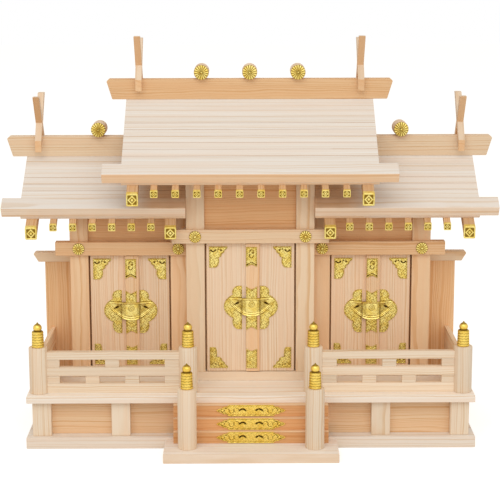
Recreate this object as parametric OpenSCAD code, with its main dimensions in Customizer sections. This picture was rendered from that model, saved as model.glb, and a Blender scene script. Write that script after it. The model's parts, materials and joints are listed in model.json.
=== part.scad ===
// Three-door household shrine in plain cypress with gilt fittings.
// Millimetres, +Z up, front towards -Y, origin under the middle of the whole box.

/* [Base] */
// How far the base board reaches past the side shrines
base_margin = 43; // [38:0.5:60]
// Depth of the base board
base_d = 196; // [180:1:220]
// Thickness of the base board
base_t = 12.4; // [8:0.2:16]
// Width of the landing in front of the stair
landing_w = 184; // [175:1:220]
// How far the landing reaches in front of the base board
landing_d = 50; // [44:1:70]
// Thickness of the landing
landing_t = 10; // [6:0.5:12]
// Height of the plinth between the base board and the veranda floor
plinth_h = 38; // [30:0.5:50]
// Width of a plinth post
plinth_post_w = 20; // [14:0.5:24]
// Setback of the plinth posts from the edges of the base board
plinth_inset = 6.5; // [2:0.5:10]
// Distance of the inner plinth posts from the middle
inner_post_x = 139.5; // [115:0.5:160]
// Setback of the plinth panels behind the faces of the posts
panel_setback = 9; // [4:0.5:12]
// Thickness of the plinth panels
panel_t = 6; // [4:0.5:8]

/* [Veranda] */
// Setback of the veranda floor's ends from the ends of the base board
floor_inset = 1; // [0:0.5:5]
// Thickness of the veranda floor
floor_t = 7.5; // [5:0.5:12]
// Diameter of a railing post
post_dia = 20; // [14:0.5:22]
// Rise of a railing post above the top bar
post_rise = 5; // [1:0.2:12]
// Height of a stair post above the landing
stair_post_h = 65; // [50:1:80]
// Setback of the corner posts from the ends of the base board
corner_post_inset = 13; // [12:0.5:20]
// Setback of the railing posts from the front edge of the floor
rail_line = 18; // [11:0.2:24]
// Distance of the stair posts from the middle
stair_post_x = 67.2; // [62:0.2:72]
// Gap between a front stair post and the lowest step
stair_post_gap = 4; // [2:0.5:10]
// Thickness of the railing bars
rail_t = 8; // [5:0.5:12]
// Height of the bottom bar
low_bar_h = 10.5; // [6:0.5:14]
// Gap under the middle bar
low_gap = 8.5; // [5:0.5:12]
// Height of the middle bar
mid_bar_h = 9.5; // [6:0.5:12]
// Gap under the top bar
top_gap = 8.5; // [5:0.5:12]
// Height of the top bar
top_bar_h = 8.4; // [5:0.2:12]
// Length of a strut between two bars
strut_w = 15; // [8:0.5:20]
// Length of the strut beside a corner post
corner_strut_w = 12.8; // [8:0.2:20]
// Setback of the struts from the faces of the bars
strut_setback = 0.8; // [0.2:0.1:2]
// Number of struts under the middle bar
low_struts = 4; // [2:1:6]
// Number of struts under the top bar
top_struts = 3; // [2:1:6]
// Thickness of the boards at the sides of the veranda
side_board_t = 5; // [3:0.5:8]
// Setback of those boards from the middle of the corner posts
side_board_in = 3; // [0:0.5:4]
// Drop of those boards below the tops of the posts
side_board_drop = 1.5; // [0:0.5:5]

/* [Stair] */
// Width of the stair
stair_w = 165; // [150:1:180]
// Depth of a tread
tread_d = 4.5; // [3:0.5:5]
// Length of a gilt plate on a riser
riser_plate_w = 72; // [50:1:90]
// Height of a gilt plate on a riser
riser_plate_h = 11; // [8:0.5:12]
// Length of the pointed ends of such a plate
riser_point = 14; // [6:1:20]

/* [Shrines] */
// Setback of the centre shrine's front behind the edge of the floor
centre_front = 61; // [55:1:66]
// Setback of the side shrines' fronts behind the centre shrine's
side_setback = 17; // [11:1:29]
// Setback of the shrines' backs from the back edge of the floor
back_inset = 5; // [1:1:12]
// Width between the centre pillars
centre_opening = 99.4; // [90:0.2:106]
// Width between a side shrine's pillars
side_opening = 90.2; // [80:0.1:94]
// Width of a pillar
pillar_w = 20; // [16:0.5:22]
// Width of the pillars beside the centre shrine
inner_pillar_w = 17.8; // [14:0.2:20]
// Height of the door sills
sill_h = 9.9; // [6:0.1:14]
// Height of the centre doorway
centre_door_h = 145.2; // [130:0.2:150]
// How much lower the side doorways are
door_step = 16.5; // [12:0.5:30]
// Height of a lintel
lintel_h = 15; // [10:0.5:15]
// How far a lintel stands proud of the pillars
lintel_t = 5; // [3:0.5:8]
// How far the lintels run past the pillars
lintel_end = 15.5; // [8:0.5:18]
// Depth of a lintel's ends, where they return beside the pillars
lintel_end_d = 11; // [8:0.5:16]
// Height of the door heads behind the lintels
head_h = 9; // [6:0.5:12]
// Thickness of the walls
wall_t = 8; // [5:0.5:10]
// Setback of the upper walls behind the pillars
upper_setback = 5; // [2:0.5:9]
// Thickness of the upper walls
upper_t = 6; // [4:0.5:8]
// Diameter of the gilt studs on the lintels
stud_dia = 12; // [8:0.5:14]
// Thickness of a stud
stud_t = 2.6; // [1.8:0.1:4]
// Diameter of the boss in the middle of a stud
stud_boss = 6; // [4:0.5:8]
// Thickness of a stud's rim
stud_rim_t = 1.6; // [0.8:0.1:1.7]

/* [Wings] */
// Setback of the wing panels behind the fronts of the side shrines
wing_setback = 35; // [22:1:52]
// How far a wing panel reaches out from the side wall
wing_w = 32; // [20:1:34]
// Height of a wing panel
wing_h = 124; // [100:1:126]
// Thickness of a wing panel
wing_t = 7; // [5:0.5:10]
// Height of the rail on top of a wing panel
wing_cap_h = 10.8; // [6:0.2:14]
// How far that rail runs past the panel
wing_cap_end = 12.5; // [6:0.5:14]
// How far that rail stands proud of the panel's faces
wing_cap_proud = 2; // [0.5:0.5:4]
// Slant of that rail's end
wing_cap_slant = 5.4; // [2:0.2:8]
// Bevel at the tip of that rail
wing_cap_bevel = 2; // [0.5:0.5:4]

/* [Doors] */
// Thickness of a door leaf
leaf_t = 6; // [4:0.5:8]
// Setback of the doors behind the pillar faces
door_setback = 2; // [1:0.5:3]
// Gap beside a leaf at its hinge
hinge_gap = 1.8; // [1.6:0.1:3]
// Gap between the two leaves of a door
seam_gap = 0.8; // [0.5:0.1:2]
// Gap above and below a leaf
leaf_gap = 1; // [0.5:0.1:2]
// Diameter of a pivot pin
pin_dia = 3; // [2:0.2:4]
// Wood left outside a pivot pin
pin_wall = 2; // [1:0.5:4]
// Length of a pivot pin in its hole
pin_len = 3; // [2:0.5:5]
// Radial clearance of a pivot pin
pin_clear = 0.05; // [0.02:0.01:0.1]
// Width of the batten over the seam
batten_w = 15; // [10:0.5:18]
// How far the batten laps over the other leaf
batten_lap = 5; // [3:0.5:6]
// Thickness of the batten
batten_t = 3; // [2:0.5:4]
// Clearance behind the lapping edge of the batten
lap_clear = 0.3; // [0.2:0.1:0.6]

/* [Roofs] */
// Pitch of the roofs in degrees
pitch = 33; // [30:0.5:36]
// Gap between the centre lintel and the inner rafters of the side roofs
lintel_clear = 1; // [0.5:0.1:6]
// Gap between the side ridges and the centre gable rafters over them
roof_gap = 11.1; // [2:0.1:20]
// Thickness of the roof boards
roof_t = 13; // [9:0.5:16]
// Thickness of the lip that carries an eave board
lip_t = 3; // [2:0.5:5]
// Thickness of an eave board
eave_t = 12; // [10.4:0.2:16]
// Depth of an eave board along the slope
eave_d = 17.2; // [12:0.2:26]
// How far a front eave board runs past the roof
eave_end = 20; // [10:1:26]
// How far a back eave board runs past the roof
back_eave_end = 0; // [0:1:26]
// How far the centre eave reaches in front of the centre shrine
centre_overhang = 49; // [40:1:56]
// How far the side eaves reach in front of the side shrines
side_overhang = 33; // [26:1:40]
// How far the centre roof reaches past the centre pillars
centre_gable = 66.3; // [58:0.1:80]
// How far a side roof reaches past the side pillars
side_gable = 49.5; // [40:0.5:60]
// Height of a ridge
ridge_h = 22.5; // [16:0.5:30]
// Thickness of a ridge
ridge_t = 14; // [12:0.5:20]
// How far a ridge runs past the roof at its top edge
ridge_end = 21.5; // [10:0.5:24]
// Slant of a ridge's ends
ridge_slant = 6; // [2:0.5:10]
// Bevel on the upper corners of a ridge
ridge_bevel = 2.5; // [1:0.5:5]

/* [Rafters and ridge ornaments] */
// Width of a small rafter
rafter_w = 7; // [5:0.2:9]
// Depth of a small rafter
rafter_h = 6.2; // [5:0.2:9]
// How far the small rafters reach past the eave boards
rafter_out = 11; // [8:0.5:16]
// Spacing of the centre rafters
centre_rafter_gap = 22.5; // [18:0.5:23]
// Spacing of the side rafters
side_rafter_gap = 21; // [18:0.5:22]
// Width of a gable rafter
gable_rafter_w = 11.7; // [9:0.1:14]
// Depth of a gable rafter
gable_rafter_h = 11.7; // [9:0.1:14]
// How far the gable rafters reach past the eave boards
gable_out = 17; // [12:0.5:20]
// Setback of the gable rafters from the edge of the roof
gable_inset = 6.3; // [2:0.1:10]
// Distance of a side roof's inner rafter from the centre shrine
inner_rafter = 16; // [12:0.5:24]
// Least gap between a small rafter and a gable rafter
rafter_clear = 6; // [3:0.5:10]
// Length of the gilt cap on a small rafter
rafter_cap_l = 2; // [2:0.5:7]
// Length of the gilt cap on a gable rafter
gable_cap_l = 3.5; // [2:0.5:8]
// Angle by which the end of a rafter is cut off square, towards plumb
rafter_cut = 24; // [0:1:30]
// How far a rafter cap stands out all round
cap_lap = 0.4; // [0.2:0.1:0.8]
// Diameter of a ridge log
log_dia = 16.6; // [12:0.2:20]
// Length of a ridge log
log_l = 24; // [18:1:34]
// Spacing of the three logs on the centre ridge
log_gap = 53; // [40:1:70]
// Distance of a side ridge's log from the edge of the centre roof
side_log_gap = 31; // [20:1:50]
// Depth of the flat that a log rests on
log_flat = 0.6; // [0.3:0.1:1.5]
// Thickness of the gilt disc on a log's end
log_disc_t = 1.6; // [1:0.1:3]
// Width of the forked finials
finial_w = 7; // [6:0.5:12]
// Depth of a finial bar
finial_d = 7.5; // [6:0.5:12]
// Lean of a finial bar from upright, in degrees
finial_lean = 36; // [30:1:48]
// Height of the centre forward finial bars above the ridge
finial_h = 48; // [36:0.5:60]
// Height of the centre backward finial bars above the ridge
back_finial_h = 43.5; // [36:0.5:60]
// Height of the side forward finial bars above the ridge
side_finial_h = 45.5; // [36:0.5:60]
// Height of the side backward finial bars above the ridge
side_back_finial_h = 46; // [36:0.5:60]
// Drop of the plumb foot of a centre finial bar below the ridge top, at its upper edge
finial_foot = 0; // [0:0.5:4]
// Drop of the plumb foot of a side finial bar below the ridge top, at its upper edge
side_finial_foot = 3.5; // [0:0.5:4]
// Setback of the finials from the end of the ridge
finial_inset = 35.5; // [28:0.5:50]

/* [Post caps] */
// Diameter of a gilt post cap
cap_dia = 13.2; // [11:0.2:15]
// Height of a post cap's body
cap_body_h = 15.5; // [10:0.5:20]
// Height of the shoulder over the body
cap_shoulder_h = 1.5; // [1:0.1:3]
// Diameter of the neck under the ball
cap_neck = 7; // [5:0.2:8]
// Diameter of the ball
cap_ball = 10.5; // [9:0.1:12]
// Height of the point on top of the ball
cap_point_h = 1.2; // [0.6:0.1:3]

/* [Hidden] */
$fn = 64;
wood = [0.93, 0.80, 0.64];
pale_wood = [0.95, 0.86, 0.75];
warm_wood = [0.87, 0.68, 0.48];
gilt = [0.88, 0.70, 0.20];
// Overlap of cutting shapes past the faces that they cut
eps = 0.01;
// Thickness of the gilt plates
plate_t = 1;

// Heights
floor_z = base_t + plinth_h;
floor_top = floor_z + floor_t;
door_z = floor_top + sill_h;
riser_h = (floor_z - landing_t) / 3;
step_z = [for (k = [0:3]) landing_t + k * riser_h];
step_front = [for (k = [3, 2, 1]) -k * tread_d];
low_gap_z = floor_top + low_bar_h;
mid_bar_z = low_gap_z + low_gap;
top_gap_z = mid_bar_z + mid_bar_h;
top_bar_z = top_gap_z + top_gap;
rail_top = top_bar_z + top_bar_h;
post_top = rail_top + post_rise;
post_h = post_top - floor_top;
side_door_h = centre_door_h - door_step;

// Plan of the shrines
centre_half = centre_opening / 2 + pillar_w;
side_in = centre_half + inner_pillar_w;
side_out = side_in + side_opening;
side_end = side_out + pillar_w;
side_mid = (side_in + side_out) / 2;
side_front = centre_front + side_setback;
shrine_back = base_d - back_inset;
wall_back = shrine_back - wall_t;
wing_front = side_front + wing_setback;
ridge_y = (centre_front + shrine_back) / 2;

// Plan of the base, the railing and the roofs
base_w = 2 * (side_end + base_margin);
floor_w = base_w - 2 * floor_inset;
corner_post_x = base_w / 2 - corner_post_inset;
stair_post_front = stair_post_gap + post_dia / 2 - step_front[0];
centre_eave = centre_front - centre_overhang;
side_eave = side_front - side_overhang;
centre_roof_half = centre_half + centre_gable;
side_roof_x = side_end + side_gable;

// Slope of a roof: u runs down from the ridge line, n stands square to the slope
ridge_drop = ridge_t / 2 * tan(pitch);
gable_drop = (roof_t + gable_rafter_h) / cos(pitch);
lintel_top = door_z + centre_door_h + lintel_h;
lintel_run = ridge_y - centre_front + lintel_t;
side_top = lintel_top + lintel_clear + lintel_run * tan(pitch) + gable_drop;
side_ridge_z = side_top - ridge_drop;
side_ridge_top = side_ridge_z + ridge_h;
centre_top = side_ridge_top + roof_gap + ridge_drop + gable_drop;
centre_ridge_z = centre_top - ridge_drop;
centre_ridge_top = centre_ridge_z + ridge_h;
eave_proud = eave_t + lip_t - roof_t;
function on_slope(top, u, n) =
  [ridge_y - u * cos(pitch) - n * sin(pitch), top - u * sin(pitch) + n * cos(pitch)];
function cut_u(h) = h / 2 * tan(rafter_cut);
function eave_u(edge) = (ridge_y - edge - eave_proud * sin(pitch)) / cos(pitch);
centre_u = eave_u(centre_eave);
side_u = eave_u(side_eave);
function under_roof(top, y) = top - abs(ridge_y - y) * tan(pitch) - roof_t / cos(pitch);

// Rafter rows: as many small rafters as fit between the gable rafters
gable_x = centre_roof_half - gable_inset - gable_rafter_w / 2;
side_gable_x = side_roof_x - gable_inset - gable_rafter_w / 2;
side_inner_x = centre_half + inner_rafter;
rafter_room = gable_rafter_w / 2 + rafter_w / 2 + rafter_clear;
centre_pairs = floor((gable_x - rafter_room) / centre_rafter_gap + 0.5);
centre_rafters = [for (k = [0.5 - centre_pairs:centre_pairs - 0.5]) k * centre_rafter_gap];
side_count = floor((side_gable_x - rafter_room - side_inner_x) / side_rafter_gap);
side_rafters = [for (k = [1:side_count]) side_inner_x + k * side_rafter_gap];

// Ridges and finials
centre_ridge_half = centre_roof_half + ridge_end;
side_ridge_end = side_roof_x + ridge_end;
finial_x = centre_ridge_half - finial_inset;
side_finial_x = side_ridge_end - finial_inset;
// Depth of the notch by which the finials sit down over the ridge
finial_seat = 1;
finial_cross = (ridge_t + finial_d / cos(finial_lean)) / 2 / tan(finial_lean) - finial_seat;

// The box runs from the landing's front edge to the tips of the back gable rafters
gable_tip = on_slope(centre_top, centre_u + gable_out - cut_u(gable_rafter_h + 2 * cap_lap), cap_lap - roof_t)[0];
front_y = -landing_d;
back_y = 2 * ridge_y - gable_tip;
mid_y = (front_y + back_y) / 2;

module placed() { translate([0, -mid_y, 0]) children(); }

module both_sides() {
  children();
  mirror([1, 0, 0]) children();
}

module behind_ridge() {
  translate([0, 2 * ridge_y, 0]) mirror([0, 1, 0]) children();
}

// A solid block between two corners
module block(a, b) { translate(a) cube(b - a); }

// A Y-Z outline carried from x0 to x1
module along_x(x0, x1) {
  translate([x0, 0, 0]) rotate([90, 0, 90]) linear_extrude(x1 - x0) children();
}

// An X-Z outline carried from y0 back to y1
module along_y(y0, y1) {
  translate([0, y1, 0]) rotate([90, 0, 0]) linear_extrude(y1 - y0) children();
}

module stair_landing() {
  color(pale_wood) placed()
    block([-landing_w / 2, -landing_d, 0], [landing_w / 2, 0, landing_t]);
}

module base_board() {
  color(wood) placed() block([-base_w / 2, 0, 0], [base_w / 2, base_d, base_t]);
}

plinth_x = base_w / 2 - plinth_inset - plinth_post_w;
plinth_y = [plinth_inset, base_d - plinth_inset - plinth_post_w];

module plinth_posts() {
  color(wood) placed() both_sides()
    for (x = [plinth_x, inner_post_x - plinth_post_w / 2], y = plinth_y)
      block([x, y, base_t], [x + plinth_post_w, y + plinth_post_w, floor_z]);
}

module plinth_panels() {
  inner = inner_post_x - plinth_post_w / 2;
  outer = inner_post_x + plinth_post_w / 2;
  front = plinth_y[0] + panel_setback;
  back = plinth_y[1] + plinth_post_w - panel_setback;
  side = plinth_x + plinth_post_w - panel_setback;
  color(warm_wood) placed() {
    for (y = [front, back - panel_t]) {
      block([-inner, y, base_t], [inner, y + panel_t, floor_z]);
      both_sides() block([outer, y, base_t], [plinth_x, y + panel_t, floor_z]);
    }
    both_sides()
      block([side - panel_t, plinth_y[0] + plinth_post_w, base_t], [side, plinth_y[1], floor_z]);
  }
}

module veranda_floor() {
  color(pale_wood) placed() block([-floor_w / 2, 0, floor_z], [floor_w / 2, base_d, floor_top]);
}

// The lowest step stops at the base board, the others run back to the plinth panel
module step(k, back) {
  color(wood) placed()
    block([-stair_w / 2, step_front[k], step_z[k]], [stair_w / 2, back, step_z[k + 1]]);
}

module stair_step_low() { step(0, 0); }
module stair_step_mid() { step(1, plinth_y[0] + panel_setback); }
module stair_step_top() { step(2, plinth_y[0] + panel_setback); }

module riser_plates() {
  half = riser_plate_w / 2;
  flat = half - riser_point;
  rise = riser_plate_h / 2;
  color(gilt) placed() for (k = [0:2])
    translate([0, 0, (step_z[k] + step_z[k + 1]) / 2])
      along_y(step_front[k] - plate_t, step_front[k])
        polygon([[-half, 0], [-flat, -rise], [flat, -rise], [half, 0], [flat, rise], [-flat, rise]]);
}

module post(x, y, z, h) { translate([x, y, z]) cylinder(d = post_dia, h = h); }

module stair_posts() {
  color(pale_wood) placed() both_sides()
    post(stair_post_x, -stair_post_front, landing_t, stair_post_h);
}

module rail_posts() {
  color(pale_wood) placed() both_sides()
    for (x = [stair_post_x, corner_post_x]) post(x, rail_line, floor_top, post_h);
}

// Round cap: a body, a shoulder in to the neck, and a pointed ball
module post_cap() {
  r = cap_dia / 2;
  ball_r = cap_ball / 2;
  neck_angle = acos(cap_neck / cap_ball);
  steps = 5;
  neck_z = cap_body_h + cap_shoulder_h;
  ball_z = neck_z + ball_r * sin(neck_angle);
  rotate_extrude() polygon(concat(
    [[0, 0], [r, 0], [r, cap_body_h]],
    [for (k = [-steps:steps]) let (a = k / steps * neck_angle) [ball_r * cos(a), ball_z + ball_r * sin(a)]],
    [[0, ball_z + ball_r + cap_point_h]]));
}

module post_caps() {
  color(gilt) placed() both_sides() {
    for (x = [stair_post_x, corner_post_x]) translate([x, rail_line, post_top]) post_cap();
    translate([stair_post_x, -stair_post_front, landing_t + stair_post_h]) post_cap();
  }
}

// A bar of the front railing, coped to the round posts at both ends
module bar(z, h, setback) {
  difference() {
    block([stair_post_x, rail_line - rail_t / 2 + setback, z],
      [corner_post_x, rail_line + rail_t / 2 - setback, z + h]);
    for (x = [stair_post_x, corner_post_x]) post(x, rail_line, z - eps, h + 2 * eps);
  }
}

module front_rails() {
  color(pale_wood) placed() both_sides() {
    bar(floor_top, low_bar_h, 0);
    bar(mid_bar_z, mid_bar_h, 0);
    bar(top_bar_z, top_bar_h, 0);
  }
}

module struts(z, h, count) {
  run_a = stair_post_x + post_dia / 2;
  run_b = corner_post_x - post_dia / 2;
  pitch_x = (run_b - run_a - corner_strut_w) / (count - 1);
  intersection() {
    bar(z, h, strut_setback);
    for (k = [0:count - 1]) {
      x0 = k == 0 ? stair_post_x : run_a + k * pitch_x;
      x1 = k == count - 1 ? corner_post_x : run_a + k * pitch_x + strut_w;
      block([x0, rail_line - rail_t, z], [x1, rail_line + rail_t, z + h]);
    }
  }
}

module rail_struts() {
  color(pale_wood) placed() both_sides() {
    struts(low_gap_z, low_gap, low_struts);
    struts(top_gap_z, top_gap, top_struts);
  }
}

// Solid boards from the corner posts back to the wing panels
module side_boards() {
  color(wood) placed() both_sides() difference() {
    block([corner_post_x - side_board_in - side_board_t, rail_line, floor_top],
      [corner_post_x - side_board_in, wing_front, post_top - side_board_drop]);
    post(corner_post_x, rail_line, floor_top - eps, post_h);
  }
}

module wing_panels() {
  color(warm_wood) placed() both_sides()
    block([side_end, wing_front, floor_top],
      [side_end + wing_w, wing_front + wing_t, floor_top + wing_h]);
}

module wing_caps() {
  z = floor_top + wing_h;
  tip = side_end + wing_w + wing_cap_end;
  color(wood) placed() both_sides()
    along_y(wing_front - wing_cap_proud, wing_front + wing_t + wing_cap_proud)
      polygon([[side_end, z], [tip - wing_cap_slant, z], [tip, z + wing_cap_h - wing_cap_bevel],
        [tip - wing_cap_bevel, z + wing_cap_h], [side_end, z + wing_cap_h]]);
}

pin_r = pin_dia / 2;
bore_r = pin_r + pin_clear;
leaf_inset = pin_r + pin_wall;
centre_pin_x = centre_opening / 2 - hinge_gap - leaf_inset;
side_pin_x = side_opening / 2 - hinge_gap - leaf_inset;
pin_setback = door_setback + leaf_t / 2;

// The two pin holes of a doorway, drilled up or down from height z
module pin_holes(mid, pin_x, front, z, up) {
  for (s = [-1, 1])
    translate([mid + s * pin_x, front + pin_setback, up ? z - eps : z - pin_len - leaf_gap])
      cylinder(r = bore_r, h = pin_len + leaf_gap + eps);
}

module centre_sill() {
  color(warm_wood) placed() difference() {
    block([-centre_half, centre_front, floor_top],
      [centre_half, centre_front + pillar_w, door_z]);
    pin_holes(0, centre_pin_x, centre_front, door_z + eps, false);
  }
}

module side_sills() {
  color(warm_wood) placed() both_sides() difference() {
    block([centre_half, side_front, floor_top], [side_end, side_front + pillar_w, door_z]);
    pin_holes(side_mid, side_pin_x, side_front, door_z + eps, false);
  }
}

// A pillar or wall whose head is cut to the underside of a roof
module under_slope(x0, x1, y0, y1, z0, top) {
  along_x(x0, x1) polygon(concat([[y0, z0], [y1, z0], [y1, under_roof(top, y1)]],
    y0 < ridge_y && ridge_y < y1 ? [[ridge_y, under_roof(top, ridge_y)]] : [],
    [[y0, under_roof(top, y0)]]));
}

module centre_pillars() {
  color(wood) placed() both_sides()
    under_slope(centre_opening / 2, centre_half, centre_front, centre_front + pillar_w,
      door_z, centre_top);
}

module side_pillars() {
  color(wood) placed() both_sides() {
    under_slope(centre_half, side_in, side_front, side_front + pillar_w, door_z, side_top);
    under_slope(side_out, side_end, side_front, side_front + pillar_w, door_z, side_top);
  }
}

// A lintel's end that returns beside a pillar's outer face at x
module lintel_return(x, front, z) {
  block([x, front, z], [x + lintel_end, front + lintel_end_d, z + lintel_h]);
}

module lintels() {
  centre_z = door_z + centre_door_h;
  side_z = door_z + side_door_h;
  centre_face = centre_front - lintel_t;
  side_face = side_front - lintel_t;
  color(pale_wood) placed() {
    block([-centre_half, centre_face, centre_z], [centre_half, centre_front, centre_z + lintel_h]);
    both_sides() {
      lintel_return(centre_half, centre_face, centre_z);
      block([centre_half, side_face, side_z], [side_end, side_front, side_z + lintel_h]);
      lintel_return(side_end, side_face, side_z);
    }
  }
}

module stud(x, front, z) {
  translate([x, front, z]) rotate([90, 0, 0]) {
    cylinder(d = stud_dia, h = stud_rim_t);
    cylinder(d = stud_boss, h = stud_t);
  }
}

module lintel_studs() {
  centre_z = door_z + centre_door_h + lintel_h / 2;
  side_z = door_z + side_door_h + lintel_h / 2;
  color(gilt) placed() both_sides() {
    stud(centre_half - pillar_w / 2, centre_front - lintel_t, centre_z);
    stud(centre_half + inner_pillar_w / 2, side_front - lintel_t, side_z);
    stud(side_end - pillar_w / 2, side_front - lintel_t, side_z);
  }
}

module door_heads() {
  centre_z = door_z + centre_door_h;
  side_z = door_z + side_door_h;
  color(wood) placed() {
    difference() {
      block([-centre_opening / 2, centre_front, centre_z],
        [centre_opening / 2, centre_front + pillar_w, centre_z + head_h]);
      pin_holes(0, centre_pin_x, centre_front, centre_z, true);
    }
    both_sides() difference() {
      block([side_in, side_front, side_z], [side_out, side_front + pillar_w, side_z + head_h]);
      pin_holes(side_mid, side_pin_x, side_front, side_z, true);
    }
  }
}

module upper_walls() {
  color(warm_wood) placed() {
    under_slope(-centre_opening / 2, centre_opening / 2, centre_front + upper_setback,
      centre_front + upper_setback + upper_t, door_z + centre_door_h + head_h, centre_top);
    both_sides() under_slope(side_in, side_out, side_front + upper_setback,
      side_front + upper_setback + upper_t, door_z + side_door_h + head_h, side_top);
  }
}

module side_walls() {
  color(warm_wood) placed() both_sides() {
    under_slope(centre_half - wall_t, centre_half, centre_front + pillar_w, wall_back,
      floor_top, centre_top);
    under_slope(side_end - wall_t, side_end, side_front + pillar_w, wall_back,
      floor_top, side_top);
  }
}

module centre_back_wall() {
  color(warm_wood) placed()
    under_slope(-centre_half, centre_half, wall_back, shrine_back, floor_top, centre_top);
}

module side_back_walls() {
  color(warm_wood) placed() both_sides()
    under_slope(centre_half, side_end, wall_back, shrine_back, floor_top, side_top);
}

// One slope of a roof, with a thin lip under its eave board
module roof_slope(top, u, x0, x1) {
  bed = lip_t - roof_t;
  along_x(x0, x1) polygon([[ridge_y, top], on_slope(top, u - eave_d, 0),
    on_slope(top, u - eave_d, bed), on_slope(top, u, bed), on_slope(top, u, -roof_t),
    [ridge_y, top - roof_t / cos(pitch)]]);
}

module centre_roof_front() {
  color(pale_wood) placed()
    roof_slope(centre_top, centre_u, -centre_roof_half, centre_roof_half);
}

module centre_roof_back() {
  color(pale_wood) placed() behind_ridge()
    roof_slope(centre_top, centre_u, -centre_roof_half, centre_roof_half);
}

module side_roof_fronts() {
  color(pale_wood) placed() both_sides()
    roof_slope(side_top, side_u, centre_half, side_roof_x);
}

module side_roof_backs() {
  color(pale_wood) placed() both_sides() behind_ridge()
    roof_slope(side_top, side_u, centre_half, side_roof_x);
}

module eave_board(top, u, x0, x1) {
  bed = lip_t - roof_t;
  along_x(x0, x1) polygon([on_slope(top, u - eave_d, bed), on_slope(top, u - eave_d, bed + eave_t),
    on_slope(top, u, bed + eave_t), on_slope(top, u, bed)]);
}

module eaves(past) {
  half = centre_roof_half + past;
  eave_board(centre_top, centre_u, -half, half);
  both_sides() eave_board(side_top, side_u, centre_half, side_roof_x + past);
}

module eave_boards() {
  color(wood) placed() {
    eaves(eave_end);
    behind_ridge() eaves(back_eave_end);
  }
}

// A ridge board that sits over the two slopes; its outline tapers in towards the bottom
module ridge(top, z, outline) {
  intersection() {
    along_y(ridge_y - ridge_t / 2, ridge_y + ridge_t / 2) polygon(outline);
    along_x(-side_ridge_end, side_ridge_end)
      polygon([[ridge_y - ridge_t / 2, z], [ridge_y, top], [ridge_y + ridge_t / 2, z],
        [ridge_y + ridge_t / 2, z + ridge_h], [ridge_y - ridge_t / 2, z + ridge_h]]);
  }
}

function ridge_tip(x, z) = [[x - ridge_slant, z], [x, z + ridge_h - ridge_bevel],
  [x - ridge_bevel, z + ridge_h]];

module centre_ridge() {
  tip = ridge_tip(centre_ridge_half, centre_ridge_z);
  color(warm_wood) placed() ridge(centre_top, centre_ridge_z,
    concat(tip, [for (k = [2:-1:0]) [-tip[k][0], tip[k][1]]]));
}

module side_ridges() {
  color(warm_wood) placed() both_sides() ridge(side_top, side_ridge_z,
    concat(ridge_tip(side_ridge_end, side_ridge_z),
      [[centre_half, side_ridge_top], [centre_half, side_ridge_z]]));
}

// A straight rafter under a slope, from distance u0 to u1 below the ridge line at the middle of its slanted ends
module rafter_bar(top, x, u0, u1, w, h, lap) {
  d = cut_u(h + 2 * lap);
  along_x(x - w / 2 - lap, x + w / 2 + lap)
    polygon([on_slope(top, u0 - d, lap - roof_t), on_slope(top, u1 - d, lap - roof_t),
      on_slope(top, u1 + d, -roof_t - h - lap), on_slope(top, u0 + d, -roof_t - h - lap)]);
}

// The part of a rafter that stands in front of a wall that lies run away from the ridge line
module eave_rafter(top, x, run, u1, w, h) {
  intersection() {
    rafter_bar(top, x, 0, u1, w, h, 0);
    block([x - w, -landing_d, 0], [x + w, ridge_y - run, top]);
  }
}

module rafter_rows(centre_run, side_run) {
  reach = rafter_out - rafter_cap_l;
  for (x = centre_rafters)
    eave_rafter(centre_top, x, centre_run, centre_u + reach, rafter_w, rafter_h);
  both_sides() {
    for (x = side_rafters)
      eave_rafter(side_top, x, side_run, side_u + reach, rafter_w, rafter_h);
    eave_rafter(side_top, side_inner_x, side_run, side_u + gable_out - gable_cap_l,
      gable_rafter_w, gable_rafter_h);
  }
}

module rafters() {
  color(warm_wood) placed() {
    rafter_rows(ridge_y - centre_front, ridge_y - side_front);
    behind_ridge() rafter_rows(shrine_back - ridge_y, shrine_back - ridge_y);
  }
}

// A pair of gable rafters that meet under the ridge
module gable_pair(top, x, u) {
  end = u + gable_out - gable_cap_l;
  deep = roof_t + gable_rafter_h;
  d = cut_u(gable_rafter_h);
  tip = [on_slope(top, end - d, -roof_t), on_slope(top, end + d, -deep)];
  along_x(x - gable_rafter_w / 2, x + gable_rafter_w / 2) polygon(concat(
    [[ridge_y, top - roof_t / cos(pitch)]], tip, [[ridge_y, top - deep / cos(pitch)]],
    [for (p = [tip[1], tip[0]]) [2 * ridge_y - p[0], p[1]]]));
}

module gable_rafters() {
  color(warm_wood) placed() both_sides() {
    gable_pair(centre_top, gable_x, centre_u);
    gable_pair(side_top, side_gable_x, side_u);
  }
}

// Gilt caps over the ends of a small rafter and of a gable rafter; u is where the roof ends
module small_cap(top, x, u) {
  tip = u + rafter_out;
  rafter_bar(top, x, tip - rafter_cap_l, tip, rafter_w, rafter_h, cap_lap);
}

module gable_cap(top, x, u) {
  tip = u + gable_out;
  rafter_bar(top, x, tip - gable_cap_l, tip, gable_rafter_w, gable_rafter_h, cap_lap);
}

module cap_rows() {
  for (x = centre_rafters) small_cap(centre_top, x, centre_u);
  both_sides() {
    gable_cap(centre_top, gable_x, centre_u);
    for (x = side_rafters) small_cap(side_top, x, side_u);
    for (x = [side_inner_x, side_gable_x]) gable_cap(side_top, x, side_u);
  }
}

module rafter_caps() {
  color(gilt) placed() {
    cap_rows();
    behind_ridge() cap_rows();
  }
}

// Places of the ridge logs: distance from the middle and height of the ridge under them
side_log_x = centre_roof_half + side_log_gap;
log_places = concat([for (k = [-1:1]) [k * log_gap, centre_ridge_top]],
  [for (s = [-1, 1]) [s * side_log_x, side_ridge_top]]);
log_r = log_dia / 2;

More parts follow.
